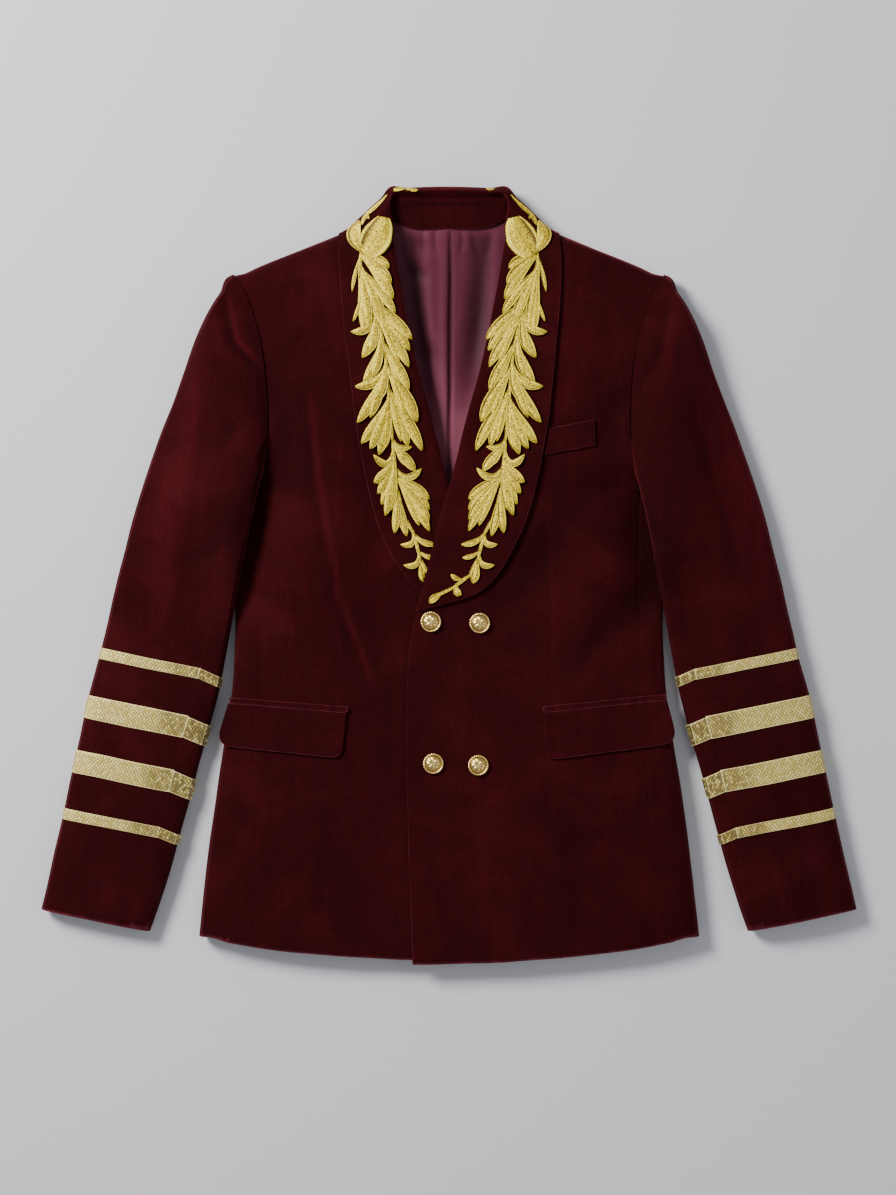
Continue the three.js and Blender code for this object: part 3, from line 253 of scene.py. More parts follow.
def makeVelvet(name, look):
    material, sheet, shader = newMaterial(name)
    nap = placeGroup(sheet, napGroup, {"Vector": sheet.place()})
    paintedLight = sheet.mask("paintedLight")
    speck = sheet.ramp(nap["Fibre"], *look["speckRange"])
    share = sheet.maths("MULTIPLY", nap["Patch"], look["patchShare"])
    share = sheet.maths("MULTIPLY_ADD", nap["Streak"], look["streakShare"], share)
    share = sheet.maths("MULTIPLY_ADD", speck, look["speckShare"], share)
    # painted shade: the nap's colour is darker in the folds
    paintedFoldShade = sheet.maths("MULTIPLY", sheet.maths("MINIMUM", paintedLight, 0.0), look["paintedFoldShade"])
    share = sheet.maths("ADD", share, paintedFoldShade, clamp=True)
    colour = sheet.blend(share, look["deep"], look["nap"])
    spotty = sheet.maths("MULTIPLY", nap["Rumple"], look["spotty"])
    # painted highlight along the listed lines, stronger on the rumples
    light = sheet.maths("MULTIPLY", sheet.maths("MAXIMUM", paintedLight, 0.0), spotty, clamp=True)
    colour = sheet.blend(light, colour, look["paintedHighlight"])
    wear = sheet.maths("MULTIPLY_ADD", nap["Streak"], *look["wear"])
    # painted sheen on the rims, stronger on the streaks
    worn = sheet.maths("MULTIPLY", sheet.ramp(sheet.mask("edge"), *look["rimSheenRange"]), wear)
    colour = sheet.blend(worn, colour, look["paintedRimSheen"])
    rough = sheet.maths("MULTIPLY_ADD", nap["Patch"], *look["roughness"])
    fine = sheet.bump(nap["Fibre"], *look["fibreBump"])
    coat(sheet, shader, colour, rough, sheet.bump(nap["Rumple"], *look["rumpleBump"], under=fine))
    setSheen(shader, look)
    return material


velvet = makeVelvet("burgundyVelvet", velvetLook)

satinLook = {
    "base": (0.086, 0.0165, 0.030, 1),
    "light": (0.102, 0.0205, 0.036, 1),
    # painted shade in the lining's folds
    "sunk": (0.020, 0.0035, 0.006, 1),
    "low": (0.20, 0.054, 0.080, 1),  # painted light: lighter in the foot of the neck opening, where the lapels shade it
    "patchSize": 20.0,
    "streakSize": 30.0,
    "twillSize": 900.0,
    "twillBend": 0.6,
    "roughness": (0.1, 0.50),
    "weaveBump": (0.08, 0.0002),
    "rippleBump": (0.05, 0.003),
    "specular": 0.08,
    "sheen": 0.12,
    "sheenRoughness": 0.3,
    "sheenTint": (1.0, 0.4, 0.55, 1),
}


def makeSatin(name, look):
    material, sheet, shader = newMaterial(name)
    place = sheet.place()
    nap = placeGroup(sheet, napGroup, {"Vector": place, "Patch Size": look["patchSize"],
                                       "Streak Size": look["streakSize"]})
    paintedLight = sheet.mask("paintedLight")
    colour = sheet.blend(nap["Patch"], look["base"], look["light"])
    # painted shade in the lining's folds, and painted light in the foot of the neck opening
    colour = sheet.blend(sheet.maths("MULTIPLY", paintedLight, -1.0, clamp=True), colour, look["sunk"])
    colour = sheet.blend(sheet.maths("MULTIPLY", paintedLight, 1.0, clamp=True), colour, look["low"])
    rough = sheet.maths("MULTIPLY_ADD", nap["Streak"], *look["roughness"])
    twillSize = {"Vector": place, "Scale": look["twillSize"], "Distortion": look["twillBend"]}
    twill = sheet.add("ShaderNodeTexWave", twillSize, wave_type="BANDS", bands_direction="DIAGONAL")
    weave = sheet.bump(twill.outputs["Fac"], *look["weaveBump"])
    coat(sheet, shader, colour, rough, sheet.bump(nap["Patch"], *look["rippleBump"], under=weave))
    setSheen(shader, look)
    return material


satin = makeSatin("plumSatin", satinLook)

goldLook = {
    "thread": (0.52, 0.33, 0.008, 1),
    "glint": (0.88, 0.69, 0.024, 1),
    # the dark between the stitches, and painted shade in the grooves and on the leaves' outer rims
    "gap": (0.065, 0.020, 0.002, 1),
    "cord": (0.92, 0.74, 0.055, 1),
    "stitchSize": 1000.0,
    "stitchRange": (0.55, 0.9),
    "toneSize": 430.0,
    "toneRange": (0.38, 0.6),
    "stripes": 1.5,  # lines of stitching across half a leaf
    "stripeRange": (0.41, 0.5),
    "stripe": 0.5,
    "grooveRange": (0.1, 0.7),
    "grooveShade": 0.9,
    "cordRange": (0.1, 0.6),
    "corded": 0.9,
    "metallic": (-0.15, 0.45),  # on the cord less by the first
    "roughness": (0.1, 0.4),
    "stitchBump": (0.7, 0.0005),
}


def makeGoldThread(name, look):
    material, sheet, shader = newMaterial(name)
    place = sheet.place()
    stitch = sheet.add("ShaderNodeTexVoronoi", {"Vector": place, "Scale": look["stitchSize"]}, feature="F1")
    height = stitch.outputs["Distance"]
    tone = sheet.ramp(sheet.grain(place, look["toneSize"], 3.0, 0.75), *look["toneRange"])
    colour = sheet.blend(tone, look["thread"], look["glint"])
    colour = sheet.blend(sheet.ramp(height, *look["stitchRange"]), colour, look["gap"])
    lane = sheet.maths("FRACT", sheet.maths("MULTIPLY", sheet.mask("across"), look["stripes"]))
    lane = sheet.maths("ABSOLUTE", sheet.maths("SUBTRACT", lane, 0.5))
    cord = sheet.mask("cord")
    corded = sheet.ramp(cord, *look["cordRange"])
    grooveShade = sheet.ramp(sheet.maths("MULTIPLY", cord, -1.0), *look["grooveRange"])
    stripe = sheet.maths("MULTIPLY", sheet.ramp(lane, *look["stripeRange"]), look["stripe"])
    colour = sheet.blend(stripe, colour, look["gap"])
    # painted shade in the grooves, and a painted shadow line along each leaf's outer rim
    colour = sheet.blend(sheet.maths("MULTIPLY", grooveShade, look["grooveShade"]), colour, look["gap"])
    colour = sheet.blend(sheet.maths("MULTIPLY", corded, look["corded"]), colour, look["cord"])
    sheet.put(shader.inputs["Metallic"], sheet.maths("MULTIPLY_ADD", corded, *look["metallic"]))
    rough = sheet.maths("MULTIPLY_ADD", corded, *look["roughness"])
    coat(sheet, shader, colour, rough, sheet.bump(height, *look["stitchBump"], invert=True))
    return material


goldThread = makeGoldThread("goldThread", goldLook)

lameLook = {
    "dark": (0.17, 0.10, 0.014, 1),
    "mid": (0.64, 0.50, 0.12, 1),
    "flash": (0.86, 0.72, 0.25, 1),
    "picot": (0.82, 0.68, 0.28, 1),
    "shade": (0.105, 0.070, 0.026, 1),
    "tilt": 11.5,  # degrees that the bands rise towards the outer edge
    "scales": 430.0,  # to a metre, across the rows
    "uneven": 0.28,
    "tall": 1.35,  # rows stand this much further apart than the scales in a row
    "flashRange": (0.1, 0.95),
    "rimRange": (0.02, 0.2),
    "quietRange": (0.85, 0.45),  # painted shade near the sleeve's fold, where only a few scales flash
    "quiet": 0.85,
    "picotRange": (0.72, 0.86),
    "metallic": (0.4, 0.25),  # near the fold more by the first
    "roughness": (0.15, 0.36),
    "scaleBump": (0.6, 0.0006),
}


def makeLame(name, look, sign):
    material, sheet, shader = newMaterial(name)
    tilt = math.radians(look["tilt"]) * sign
    turned = sheet.add("ShaderNodeMapping", {"Vector": sheet.place(), "Scale": (1.0, look["tall"], 1.0),
                       "Rotation": (0, 0, tilt)}, vector_type="TEXTURE")
    # an eighth of a turn sets every second row of the scales half a scale aside
    crossed = sheet.add("ShaderNodeMapping", {"Vector": turned.outputs[0], "Rotation": (0, 0, math.pi / 4)})
    scale = {"Vector": crossed.outputs[0], "Scale": look["scales"], "Randomness": look["uneven"]}
    cells = sheet.add("ShaderNodeTexVoronoi", scale, feature="F1", voronoi_dimensions="2D")
    rims = sheet.add("ShaderNodeTexVoronoi", scale, feature="DISTANCE_TO_EDGE", voronoi_dimensions="2D")
    sparkle = sheet.add("ShaderNodeSeparateColor", {"Color": cells.outputs["Color"]}).outputs
    colour = sheet.blend(sheet.ramp(sparkle[0], *look["flashRange"]), look["mid"], look["flash"])
    colour = sheet.blend(sheet.ramp(rims.outputs["Distance"], *look["rimRange"]), look["dark"], colour)
    fold = sheet.mask("fold")
    quiet = sheet.maths("MULTIPLY", fold, sheet.ramp(sparkle[1], *look["quietRange"]))
    # painted shade where the band turns from the light near the sleeve's fold
    colour = sheet.blend(sheet.maths("MULTIPLY", quiet, look["quiet"]), colour, look["shade"])
    picot = sheet.ramp(sheet.mask("edge"), *look["picotRange"])
    colour = sheet.blend(picot, colour, look["picot"])
    foil = sheet.maths("SUBTRACT", 1.0, picot)
    shine = sheet.maths("MULTIPLY_ADD", fold, *look["metallic"])
    sheet.put(shader.inputs["Metallic"], sheet.maths("MULTIPLY", shine, foil))
    rough = sheet.maths("MULTIPLY_ADD", sparkle[2], *look["roughness"])
    relief = sheet.bump(cells.outputs["Distance"], *look["scaleBump"], invert=True)
    coat(sheet, shader, colour, rough, relief)
    return material


lame = {name: makeLame(f"goldLame_{name}", lameLook, sign) for name, sign in sides.items()}

giltLook = {
    "gilt": (0.80, 0.50, 0.10, 1),
    "worn": (1.0, 0.80, 0.36, 1),
    "sunk": (0.10, 0.045, 0.008, 1),
    "grainSize": 700.0,
    "wornRange": (0.4, 0.62),
    "roughness": (0.16, 0.22),
    "grainBump": (0.25, 0.0003),
}


def makeGilt(name, look):
    material, sheet, shader = newMaterial(name)
    grain = sheet.grain(sheet.place(), look["grainSize"], 4.0, 0.65)
    colour = sheet.blend(sheet.ramp(grain, *look["wornRange"]), look["gilt"], look["worn"])
    colour = sheet.blend(sheet.mask("sunk"), colour, look["sunk"])
    shader.inputs["Metallic"].default_value = 1.0
    rough = sheet.maths("MULTIPLY_ADD", grain, *look["roughness"])
    coat(sheet, shader, colour, rough, sheet.bump(grain, *look["grainBump"]))
    return material


gilt = makeGilt("giltMetal", giltLook)

floorLook = {
    "dark": (0.62, 0.62, 0.655, 1),
    "light": (0.66, 0.66, 0.695, 1),
    "grainSize": 260.0,
    "roughness": 0.85,
    "specular": 0.2,
    "wide": 9.0,
    "level": -0.4 * mm,
}


def makeFloor(name, look):
    material, sheet, shader = newMaterial(name)
    grain = sheet.grain(sheet.place(), look["grainSize"], 4.0, 0.6)
    sheet.put(shader.inputs["Base Color"], sheet.blend(grain, look["dark"], look["light"]))
    shader.inputs["Roughness"].default_value = look["roughness"]
    shader.inputs["Specular IOR Level"].default_value = look["specular"]
    return material


bpy.ops.mesh.primitive_plane_add(size=floorLook["wide"], location=(0, 0, floorLook["level"]))
floor = bpy.context.object
floor.name = "floor"
floor.data.transform(floor.matrix_world)
floor.matrix_world = Matrix.Identity(4)
floor.data.materials.append(makeFloor("palePaper", floorLook))
print("camera, light, floor and materials are ready")


# how the cloth settles
# Creases, in millimetres: a soft trough (depth below zero is a ridge) along a line that bends
# through a middle point. Both sides of the garment share a row where mirror is 1.
creases = [
    # name, x0, y0, xMid, yMid, x1, y1, width, depth, mirror
    ("chest dart left", 96, 56, 101, -14, 100, -96, 4, 0.7, 0),
    ("chest dart right", -110, 30, -110, -20, -107, -96, 4, 0.7, 0),
    ("chest pull right", -140, 172, -132, 94, -113, -14, 7, 1.5, 0),
    ("waist pull right", -113, -14, -98, -60, -74, -112, 7, 1.3, 0),
    ("hip trough left", 204, -16, 153, -44, 104, -107, 17, 3.0, 0),
    ("hip ridge left", 190, -62, 150, -84, 116, -118, 11, -1.6, 0),
    ("breast drag left", 128, 84, 96, 30, 60, -60, 16, 1.5, 0),
    ("waist dimple left", 71, -50, 74, -64, 82, -76, 13, 1.3, 0),
    ("side crease right", -213, -78, -206, -86, -196, -95, 5, 1.8, 0),
    ("sleeve head crease right", -219, 272, -211, 226, -186, 201, 4, 2.4, 0),
    ("sleeve head swell right", -205, 262, -198, 232, -188, 214, 7, -1.3, 0),
    ("sleeve head crease left", 214, 262, 205, 212, 184, 172, 7, 2.2, 0),
    ("sleeve head swell left", 224, 250, 214, 205, 200, 165, 8, -1.2, 0),
    ("second crease right", -226, 136, -206, 142, -186, 156, 8, 1.5, 0),
    ("sleeve fold left", 236, 176, 265, 74, 286, 6, 9, 1.6, 0),
    ("sleeve ridge right", -239, 216, -268, 64, -279, -42, 14, -1.6, 0),
    ("elbow crease right", -214, 40, -236, 20, -262, 12, 9, 1.2, 0),
    ("underarm drag", 176, 96, 150, 84, 120, 92, 12, 1.1, 1),
    ("armhole hollow", 172, 190, 160, 150, 166, 96, 14, 1.8, 1),
    ("skirt swell", 60, -215, 64, -300, 62, -372, 22, -0.8, 1),
    ("skirt trough", 110, -215, 118, -300, 122, -372, 18, 0.9, 1),
    ("front edge ripple", -22, -235, -20, -262, -12, -300, 9, 0.6, 0),
]

# Painted light on the velvet: painted highlights along its ridges, creases and lit places, and painted shade
# below zero.
paintedLightLines = [
    # name, x0, y0, xMid, yMid, x1, y1, width, strength, mirror
    ("sleeve streak right", -237, 226, -262, 90, -278, -44, 9, 0.32, 0),
    ("sleeve streak low", -272, 110, -281, 60, -290, 0, 9, 0.3, 0),
    ("sleeve head right", -214, 270, -205, 229, -184, 207, 2.6, 0.75, 0),
    ("shoulder right", -210, 278, -170, 292, -125, 300, 12, 0.10, 0),
    ("chest streak right", -135, 176, -127, 94, -108, -14, 3.6, 0.62, 0),
    ("chest streak low", -108, -14, -92, -58, -73, -108, 3.4, 0.6, 0),
    ("dart line right", -110, 28, -110, -20, -107, -76, 1.8, 0.45, 0),
    ("side streak right", -213, -74, -206, -83, -197, -91, 3.5, 0.6, 0),
    ("hem patch right", -136, -330, -131, -338, -126, -346, 16, 0.3, 0),
    ("cuff patch right", -340, -306, -334, -313, -328, -322, 14, 0.35, 0),
    ("sleeve zone left", 246, 250, 288, 113, 318, -14, 24, 0.60, 0),
    ("sleeve line left", 238, 170, 267, 74, 287, 8, 4, 0.3, 0),
    ("sleeve head left", 219, 272, 207, 212, 181, 168, 5, 0.38, 0),
    ("dart line left", 96, 54, 101, -14, 100, -96, 1.8, 0.45, 0),
    ("elbow patch left", 312, -40, 322, -66, 330, -92, 16, 0.25, 0),
    ("cuff patch left", 348, -268, 354, -274, 360, -284, 12, 0.4, 0),
    ("cuff seam left", 316, -280, 320, -300, 326, -326, 5, 0.3, 0),
    ("hem patch left", 36, -322, 40, -333, 46, -346, 20, 0.2, 0),
    ("waist shade left", 206, 30, 200, -10, 190, -40, 18, -0.4, 0),
    ("underarm shade", 190, 80, 198, 40, 206, 0, 14, -0.5, 1),
    ("stand seam", -50, 361, 0, 362.5, 50, 361, 2.2, -0.55, 0),
    ("lapel shade left", 20, -34, 66, -6, 92, 50, 9, -0.4, 0),
]

# The lining's pleat, the folds beside it and the small gathers under the stand.
liningFolds = [
    # name, x0, y0, xMid, yMid, x1, y1, width, depth, mirror
    ("left valley", -37, 346, -31, 270, -16, 150, 8, 4.2, 0),
    ("left swell", -18, 344, -17, 260, -10, 120, 7, -1.6, 0),
    ("pleat edge", 1.5, 352, 1.5, 230, 0, 60, 2.4, 3.4, 0),
    ("pleat swell", -5, 345, -5, 250, -4, 110, 5, -1.8, 0),
    ("right valley", 33, 336, 28, 262, 17, 170, 11, 4.4, 0),
    ("right swell", 49, 336, 45, 270, 35, 200, 6, -1.4, 0),
    ("left drag", -46, 326, -40, 304, -22, 292, 5, 2.0, 0),
    ("gather one", -27, 337, -26, 326, -24, 314, 2.8, 1.6, 0),
    ("gather two", -13, 337, -14, 328, -12, 318, 2.4, 1.3, 0),
    ("gather three", 12, 337, 13, 327, 11, 315, 2.4, 1.4, 0),
    ("gather four", 22, 337, 24, 326, 27, 312, 2.8, 1.6, 0),
    ("gather five", 40, 337, 39, 326, 36, 313, 2.8, 1.4, 0),
]
liningPlan = {
    "lift": 3.6,
    "shade": 0.2,
    # it lies still above the top, below the foot and beyond the half width, and is freer inside
    "top": 342, "topOver": 12, "foot": 30, "footOver": 40, "half": 100, "halfOver": 30,
    "lightFrom": 245, "lightOver": 125,  # painted light: lighter from here down, more so over this length
}


def creaseLines(table):
    lines = []
    for _, x0, y0, xm, ym, x1, y1, width, depth, mirror in table:
        for sign in ((1, -1) if mirror else (1,)):
            lines.append(([(x0 * sign, y0), (xm * sign, ym), (x1 * sign, y1)], width, depth))
    return lines


clothCreases = creaseLines(creases)
clothLightLines = creaseLines(paintedLightLines)
liningCreases = creaseLines(liningFolds)


def smooth(t):
    t = min(max(t, 0.0), 1.0)
    return t * t * (3 - 2 * t)


def alongLine(points, x, y):
    # distance to a line of two stretches, and the share of its length there
    best = (1e9, 0.0)
    for k in range(2):
        (ax, ay), (bx, by) = points[k], points[k + 1]
        dx, dy = bx - ax, by - ay
        share = ((x - ax) * dx + (y - ay) * dy) / (dx * dx + dy * dy)
        near = min(max(share, 0.0), 1.0)
        gap = math.hypot(x - ax - near * dx, y - ay - near * dy)
        if gap < best[0]:
            best = (gap, (k + near) / 2)
    return best


# A line is felt where its middle is near, out to this many widths, and it fades towards its ends.
creasePlan = {"nearX": 150, "nearY": 190, "reach": 2.6, "start": 0.08, "span": 0.84, "fade": 0.7}


def creaseDepth(lines, x, y):
    total = 0.0
    for points, width, depth in lines:
        if abs(x - points[1][0]) > creasePlan["nearX"] or abs(y - points[1][1]) > creasePlan["nearY"]:
            continue
        gap, share = alongLine(points, x, y)
        if gap < creasePlan["reach"] * width:
            wave = math.sin(math.pi * (creasePlan["start"] + creasePlan["span"] * share))
            total += depth * math.exp(-((gap / width) ** 2)) * wave ** creasePlan["fade"]
    return total


# Places where the cloth sits a little off its solid: centre, reach across and along, move.
nudges = [
    # x, y, reach x, reach y, move x, move y, mirror
    (0, 382, 75, 34, 0, 4.0, 0),
    (55, 377, 16, 18, 2.0, 4.5, 1),
    (0, 348, 52, 20, 0, 4.5, 0),
    (214, 289, 20, 16, 4.5, 3.0, 1),
]


def nudge(x, y):
    moveX = moveY = 0.0
    for cx, cy, reachX, reachY, dx, dy, mirror in nudges:
        for sign in ((1, -1) if mirror else (1,)):
            share = smooth(1 - math.hypot((x - cx * sign) / reachX, (y - cy) / reachY))
            moveX += dx * sign * share
            moveY += dy * share
    return moveX, moveY


def liningFree(x, y):
    # how freely the lining moves: not at all where it is sewn or covered
    low = smooth((y - liningPlan["foot"]) / liningPlan["footOver"])
    aside = smooth((liningPlan["half"] - abs(x)) / liningPlan["halfOver"])
    return smooth((liningPlan["top"] - y) / liningPlan["topOver"]) * low * aside


lowest = 0.1  # no cloth goes below the ground
rumpleLook = {
    # place in the noise and size: large and small rumples, moves across and along
    "layers": ((7.0, 70.0), (31.0, 24.0), (55.0, 45.0), (91.0, 45.0)),
    "largeDeep": 0.9, "smallDeep": 0.22, "sideways": 0.7,
    "still": 3, "stillOver": 15,  # cloth lower than this doesn't sink, and higher up it is freer
}


def settle(point, kind):
    # lowers and shifts a point of the cloth a little, the same for all that lie there
    x, y, z = (value / mm for value in point)
    if kind == "lining_back":
        z += (liningPlan["lift"] - creaseDepth(liningCreases, x, y)) * liningFree(x, y)
    high = smooth((z - rumpleLook["still"]) / rumpleLook["stillOver"])
    layers = rumpleLook["layers"]
    large, small, across, along = (noise.noise(Vector((x, y, layer)) / size) for layer, size in layers)
    drop = creaseDepth(clothCreases, x, y) + rumpleLook["largeDeep"] * large + rumpleLook["smallDeep"] * small
    moveX, moveY = nudge(x, y)
    moveX += rumpleLook["sideways"] * across
    moveY += rumpleLook["sideways"] * along
    low = max(z - drop * high, lowest)
    return Vector(((x + moveX) * mm, (y + moveY) * mm, low * mm))


# cloth pieces
meshPlan = {
    "merge": 0.002 * mm,
    # two triangles make a square again within these
    "squareBend": math.radians(60),
    "squareSkew": math.radians(120),
    "rimAngle": math.radians(40),  # an edge bent more than this is a rim
    "seamSheen": 0.55,  # share of the painted sheen of a free edge that a seam's rim gets
    "foldShade": 0.13,  # painted shade for each millimetre that a fold is deep
}


def selectOnly(piece):
    bpy.ops.object.select_all(action="DESELECT")
    piece.select_set(True)
    bpy.context.view_layer.objects.active = piece


def finishPiece(piece, nodeName, material):
    selectOnly(piece)
    bpy.ops.object.shade_smooth()
    piece.data.materials.append(material)
    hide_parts(nodeName)
    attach(piece, "root")


def addObject(name, mesh):
    made = bpy.data.objects.new(name, mesh)
    bpy.context.scene.collection.objects.link(made)
    return made


def copyOf(nodeName, pieceName):
    # a merged copy of a solid, with the squares of its grid put back
    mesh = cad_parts[nodeName].data.copy()
    mesh.materials.clear()
    piece = addObject(pieceName, mesh)
    selectOnly(piece)
    bpy.ops.object.mode_set(mode="EDIT")
    bpy.ops.mesh.select_all(action="SELECT")
    bpy.ops.mesh.remove_doubles(threshold=meshPlan["merge"])
    bpy.ops.mesh.tris_convert_to_quads(face_threshold=meshPlan["squareBend"],
                                       shape_threshold=meshPlan["squareSkew"])
    bpy.ops.object.mode_set(mode="OBJECT")
    return piece


# Seams: the cut edges of two panels are drawn together by this much; free edges stay.
seamPlan = {
    "front": {"pull": 0.45, "freeBelow": -354, "freeInside": 60, "armhole": {86: 3.8, 287: 3.0}},
    "side_panel": {"pull": 0.5, "freeBelow": -350, "freeInside": 0, "underArm": 13},
    "top_sleeve": {"pull": 0.4, "cuff": True, "head": 3.4},
    "under_sleeve": {"pull": 0.4, "cuff": True, "head": 1.2},
    "back": {"pull": 0.9, "freeBelow": -350, "freeInside": 0},
    "collar": {"pull": 0.35, "only": 2.0},
}
cuffLine = {"x": 292, "y": -346.6, "rise": 0.203, "deep": 6}
seamPlaces = {
    "head": 220, "headOver": 30,  # the sleeve's head, where the outline turns down from the shoulder
    "armhole": 48, "armholeOver": 10,  # the side panel's top edge lies above this
    "armholeReach": 26,  # the front goes under the sleeve this far up and down from its two places
    "aside": 150,  # rims further out than this that face sideways are seams
    "neck": 345,  # the front's inner edge is a seam above this
}


def seamPull(kind, point):
    # how far a rim reaches towards its neighbour, in millimetres
    plan = seamPlan[kind]
    y = point.y / mm
    if "head" in plan:
        share = smooth((y - seamPlaces["head"]) / seamPlaces["headOver"])
        return plan["pull"] + (plan["head"] - plan["pull"]) * share
    if "underArm" in plan and y > seamPlaces["armhole"]:
        share = smooth((y - seamPlaces["armhole"]) / seamPlaces["armholeOver"])
        return plan["pull"] + plan["underArm"] * share
    if "armhole" in plan and abs(point.x / mm) > seamPlaces["aside"]:
        reach = seamPlaces["armholeReach"]
        near = [more * smooth(1 - abs(y - at) / reach) for at, more in plan["armhole"].items()]
        return plan["pull"] + max(near)
    return plan["pull"]


def onFreeEdge(kind, point, away=None):
    # whether a place on a rim belongs to a turned edge, not to a seam
    x, y = abs(point.x / mm), point.y / mm
    plan = seamPlan.get(kind)
    if plan is None:
        return True
    sideways = away is not None and abs(away.x) > abs(away.y)
    if sideways and x > seamPlaces["aside"] and "only" not in plan:
        return False
    if plan.get("cuff"):
        return y < cuffLine["y"] + (x - cuffLine["x"]) * cuffLine["rise"] + cuffLine["deep"]
    if "only" in plan:
        return x > plan["only"]
    return y < plan["freeBelow"] or (x < plan["freeInside"] and y < seamPlaces["neck"])


def finishBorders(piece, kind):
    # the rims stay sharp while the piece is made finer, and those at a seam close up
    form = bmesh.new()
    form.from_mesh(piece.data)
    crease = form.edges.layers.float.new("crease_edge")
    sharp = set()
    for edge in form.edges:
        if len(edge.link_faces) == 2 and edge.calc_face_angle(0.0) > meshPlan["rimAngle"]:
            edge[crease] = 1.0
            sharp.add(edge)
    moves = {}
    corners = {}
    if kind in seamPlan:
        for vert in form.verts:
            rims = [edge for edge in vert.link_edges if edge in sharp]
            inner = [edge.other_vert(vert) for edge in vert.link_edges if edge not in sharp]
            if len(rims) > 2:
                corners[vert] = [edge.other_vert(vert) for edge in rims]
            elif rims and inner:
                middle = sum((other.co for other in inner), Vector()) / len(inner)
                away = (vert.co - middle).normalized()
                if not onFreeEdge(kind, vert.co, away):
                    moves[vert] = away * seamPull(kind, vert.co) * mm
    # a corner goes with the rim beside it that moves furthest
    for vert, others in corners.items():
        beside = [moves[other] for other in others if other in moves and other not in corners]
        if beside:
            moves[vert] = max(beside, key=lambda move: move.length)
    for vert, move in moves.items():
        vert.co += move
    form.to_mesh(piece.data)
    form.free()


def applyModifier(piece, kind, **settings):
    selectOnly(piece)
    modifier = piece.modifiers.new(kind.lower(), kind)
    for key, value in settings.items():
        setattr(modifier, key, value)
    bpy.ops.object.modifier_apply(modifier=modifier.name)


def markEdges(piece, kind):
    # a soft mask on the rims, where sheen is painted; weak at the seams
    form = bmesh.new()
    form.from_mesh(piece.data)
    layer = form.verts.layers.float.new("edge")
    for edge in form.edges:
        if len(edge.link_faces) == 2 and edge.calc_face_angle(0.0) > meshPlan["rimAngle"]:
            for vert in edge.verts:
                vert[layer] = 1.0 if onFreeEdge(kind, vert.co) else meshPlan["seamSheen"]
    form.to_mesh(piece.data)
    form.free()


def markPaintedLight(piece, kind):
    # painted highlights along the lines and painted shade in the folds; on the lining, painted shade in its
    # folds and painted light lower down
    paintedLight = piece.data.attributes.new("paintedLight", "FLOAT", "POINT")
    for vert in piece.data.vertices:
        x, y = vert.co.x / mm, vert.co.y / mm
        if kind == "lining_back":
            # painted shade in the lining's folds, and painted light towards the foot of the neck opening
            value = -liningPlan["shade"] * max(creaseDepth(liningCreases, x, y), 0.0) * liningFree(x, y)
            value += smooth((liningPlan["lightFrom"] - y) / liningPlan["lightOver"])
        else:
            shade = meshPlan["foldShade"] * creaseDepth(clothCreases, x, y)
            value = creaseDepth(clothLightLines, x, y) - shade
        paintedLight.data[vert.index].value = value


def dressCloth(nodeName, pieceName, material, levels, bevel=0.45):
    kind = nodeName.replace("_left", "").replace("_right", "")
    piece = copyOf(nodeName, pieceName)
    finishBorders(piece, kind)
    if kind == "collar_stand":
        raiseStand(piece)
    applyModifier(piece, "SUBSURF", levels=levels, render_levels=levels)
    for vert in piece.data.vertices:
        vert.co = settle(vert.co, kind)
    markEdges(piece, kind)
    markPaintedLight(piece, kind)
    if bevel:
        applyModifier(piece, "BEVEL", width=bevel * mm, segments=2, limit_method="ANGLE",
                      angle_limit=meshPlan["rimAngle"])
    finishPiece(piece, nodeName, material)
    return piece


# The collar stand: its top edge is sewn up inside the collar, its lower one over the lining.
standReach = {
    "top": {"at": 362, "within": 16, "up": 5.5, "atEnds": 5.5, "lift": 3.4},
    "foot": {"at": 343, "within": 14, "up": -7.0, "atEnds": -13.0, "lift": 4.4},
}
standHalf = 50  # the ends lie this far from the centre


def raiseStand(piece):
    for vert in piece.data.vertices:
        y = vert.co.y / mm
        aside = (vert.co.x / mm / standHalf) ** 2
        for plan in standReach.values():
            share = smooth(1 - abs(y - plan["at"]) / plan["within"])
            vert.co.y += (plan["up"] + (plan["atEnds"] - plan["up"]) * aside) * share * mm
            vert.co.z += plan["lift"] * share * mm


# Cut of each piece: width and length in metres, and the area where it isn't a rectangle.
pairs = [
    # piece of each side, levels, flat, area, what it lies on
    ("front", 3, (0.262, 0.735), 0.139, "back"),
    ("side_panel", 2, (0.125, 0.435), 0.0355, "back"),
    ("top_sleeve", 3, (0.215, 0.66), 0.0725, "floor"),
    ("under_sleeve", 2, (0.19, 0.63), 0.066, "floor"),
    ("collar", 3, (0.15, 0.60), 0.040, "front"),
    ("flap", 3, (0.132, 0.052), 0.0058, "front"),
    ("jet", 2, (0.121, 0.010), 0.00095, "front"),
]
dressed = {}
for sideName in sides:
    for kind, levels, flat, area, under in pairs:
        nodeName = f"{kind}_{sideName}"
        piece = dressCloth(nodeName, f"velvet_{nodeName}", velvet, levels)
        dressed[nodeName] = piece
    print("velvet dressed,", sideName)

singles = [
    # piece, material, slot, levels, bevel, flat, area, what it lies on
    ("back", velvet, "velvet", 2, 0.45, (0.42, 0.73), 0.247, "floor"),
    ("collar_stand", velvet, "velvet", 3, 0.45, (0.108, 0.034), 0.0034, "lining_back"),
    ("breast_welt", velvet, "velvet", 3, 0.45, (0.047, 0.026), None, "front_left"),
    ("lining_back", satin, "satin", 3, 0, (0.216, 0.335), 0.063, "back"),
]
for nodeName, material, slotName, levels, bevel, flat, area, under in singles:
    piece = dressCloth(nodeName, f"{slotName}_{nodeName}", material, levels, bevel)
print("velvet and lining dressed")

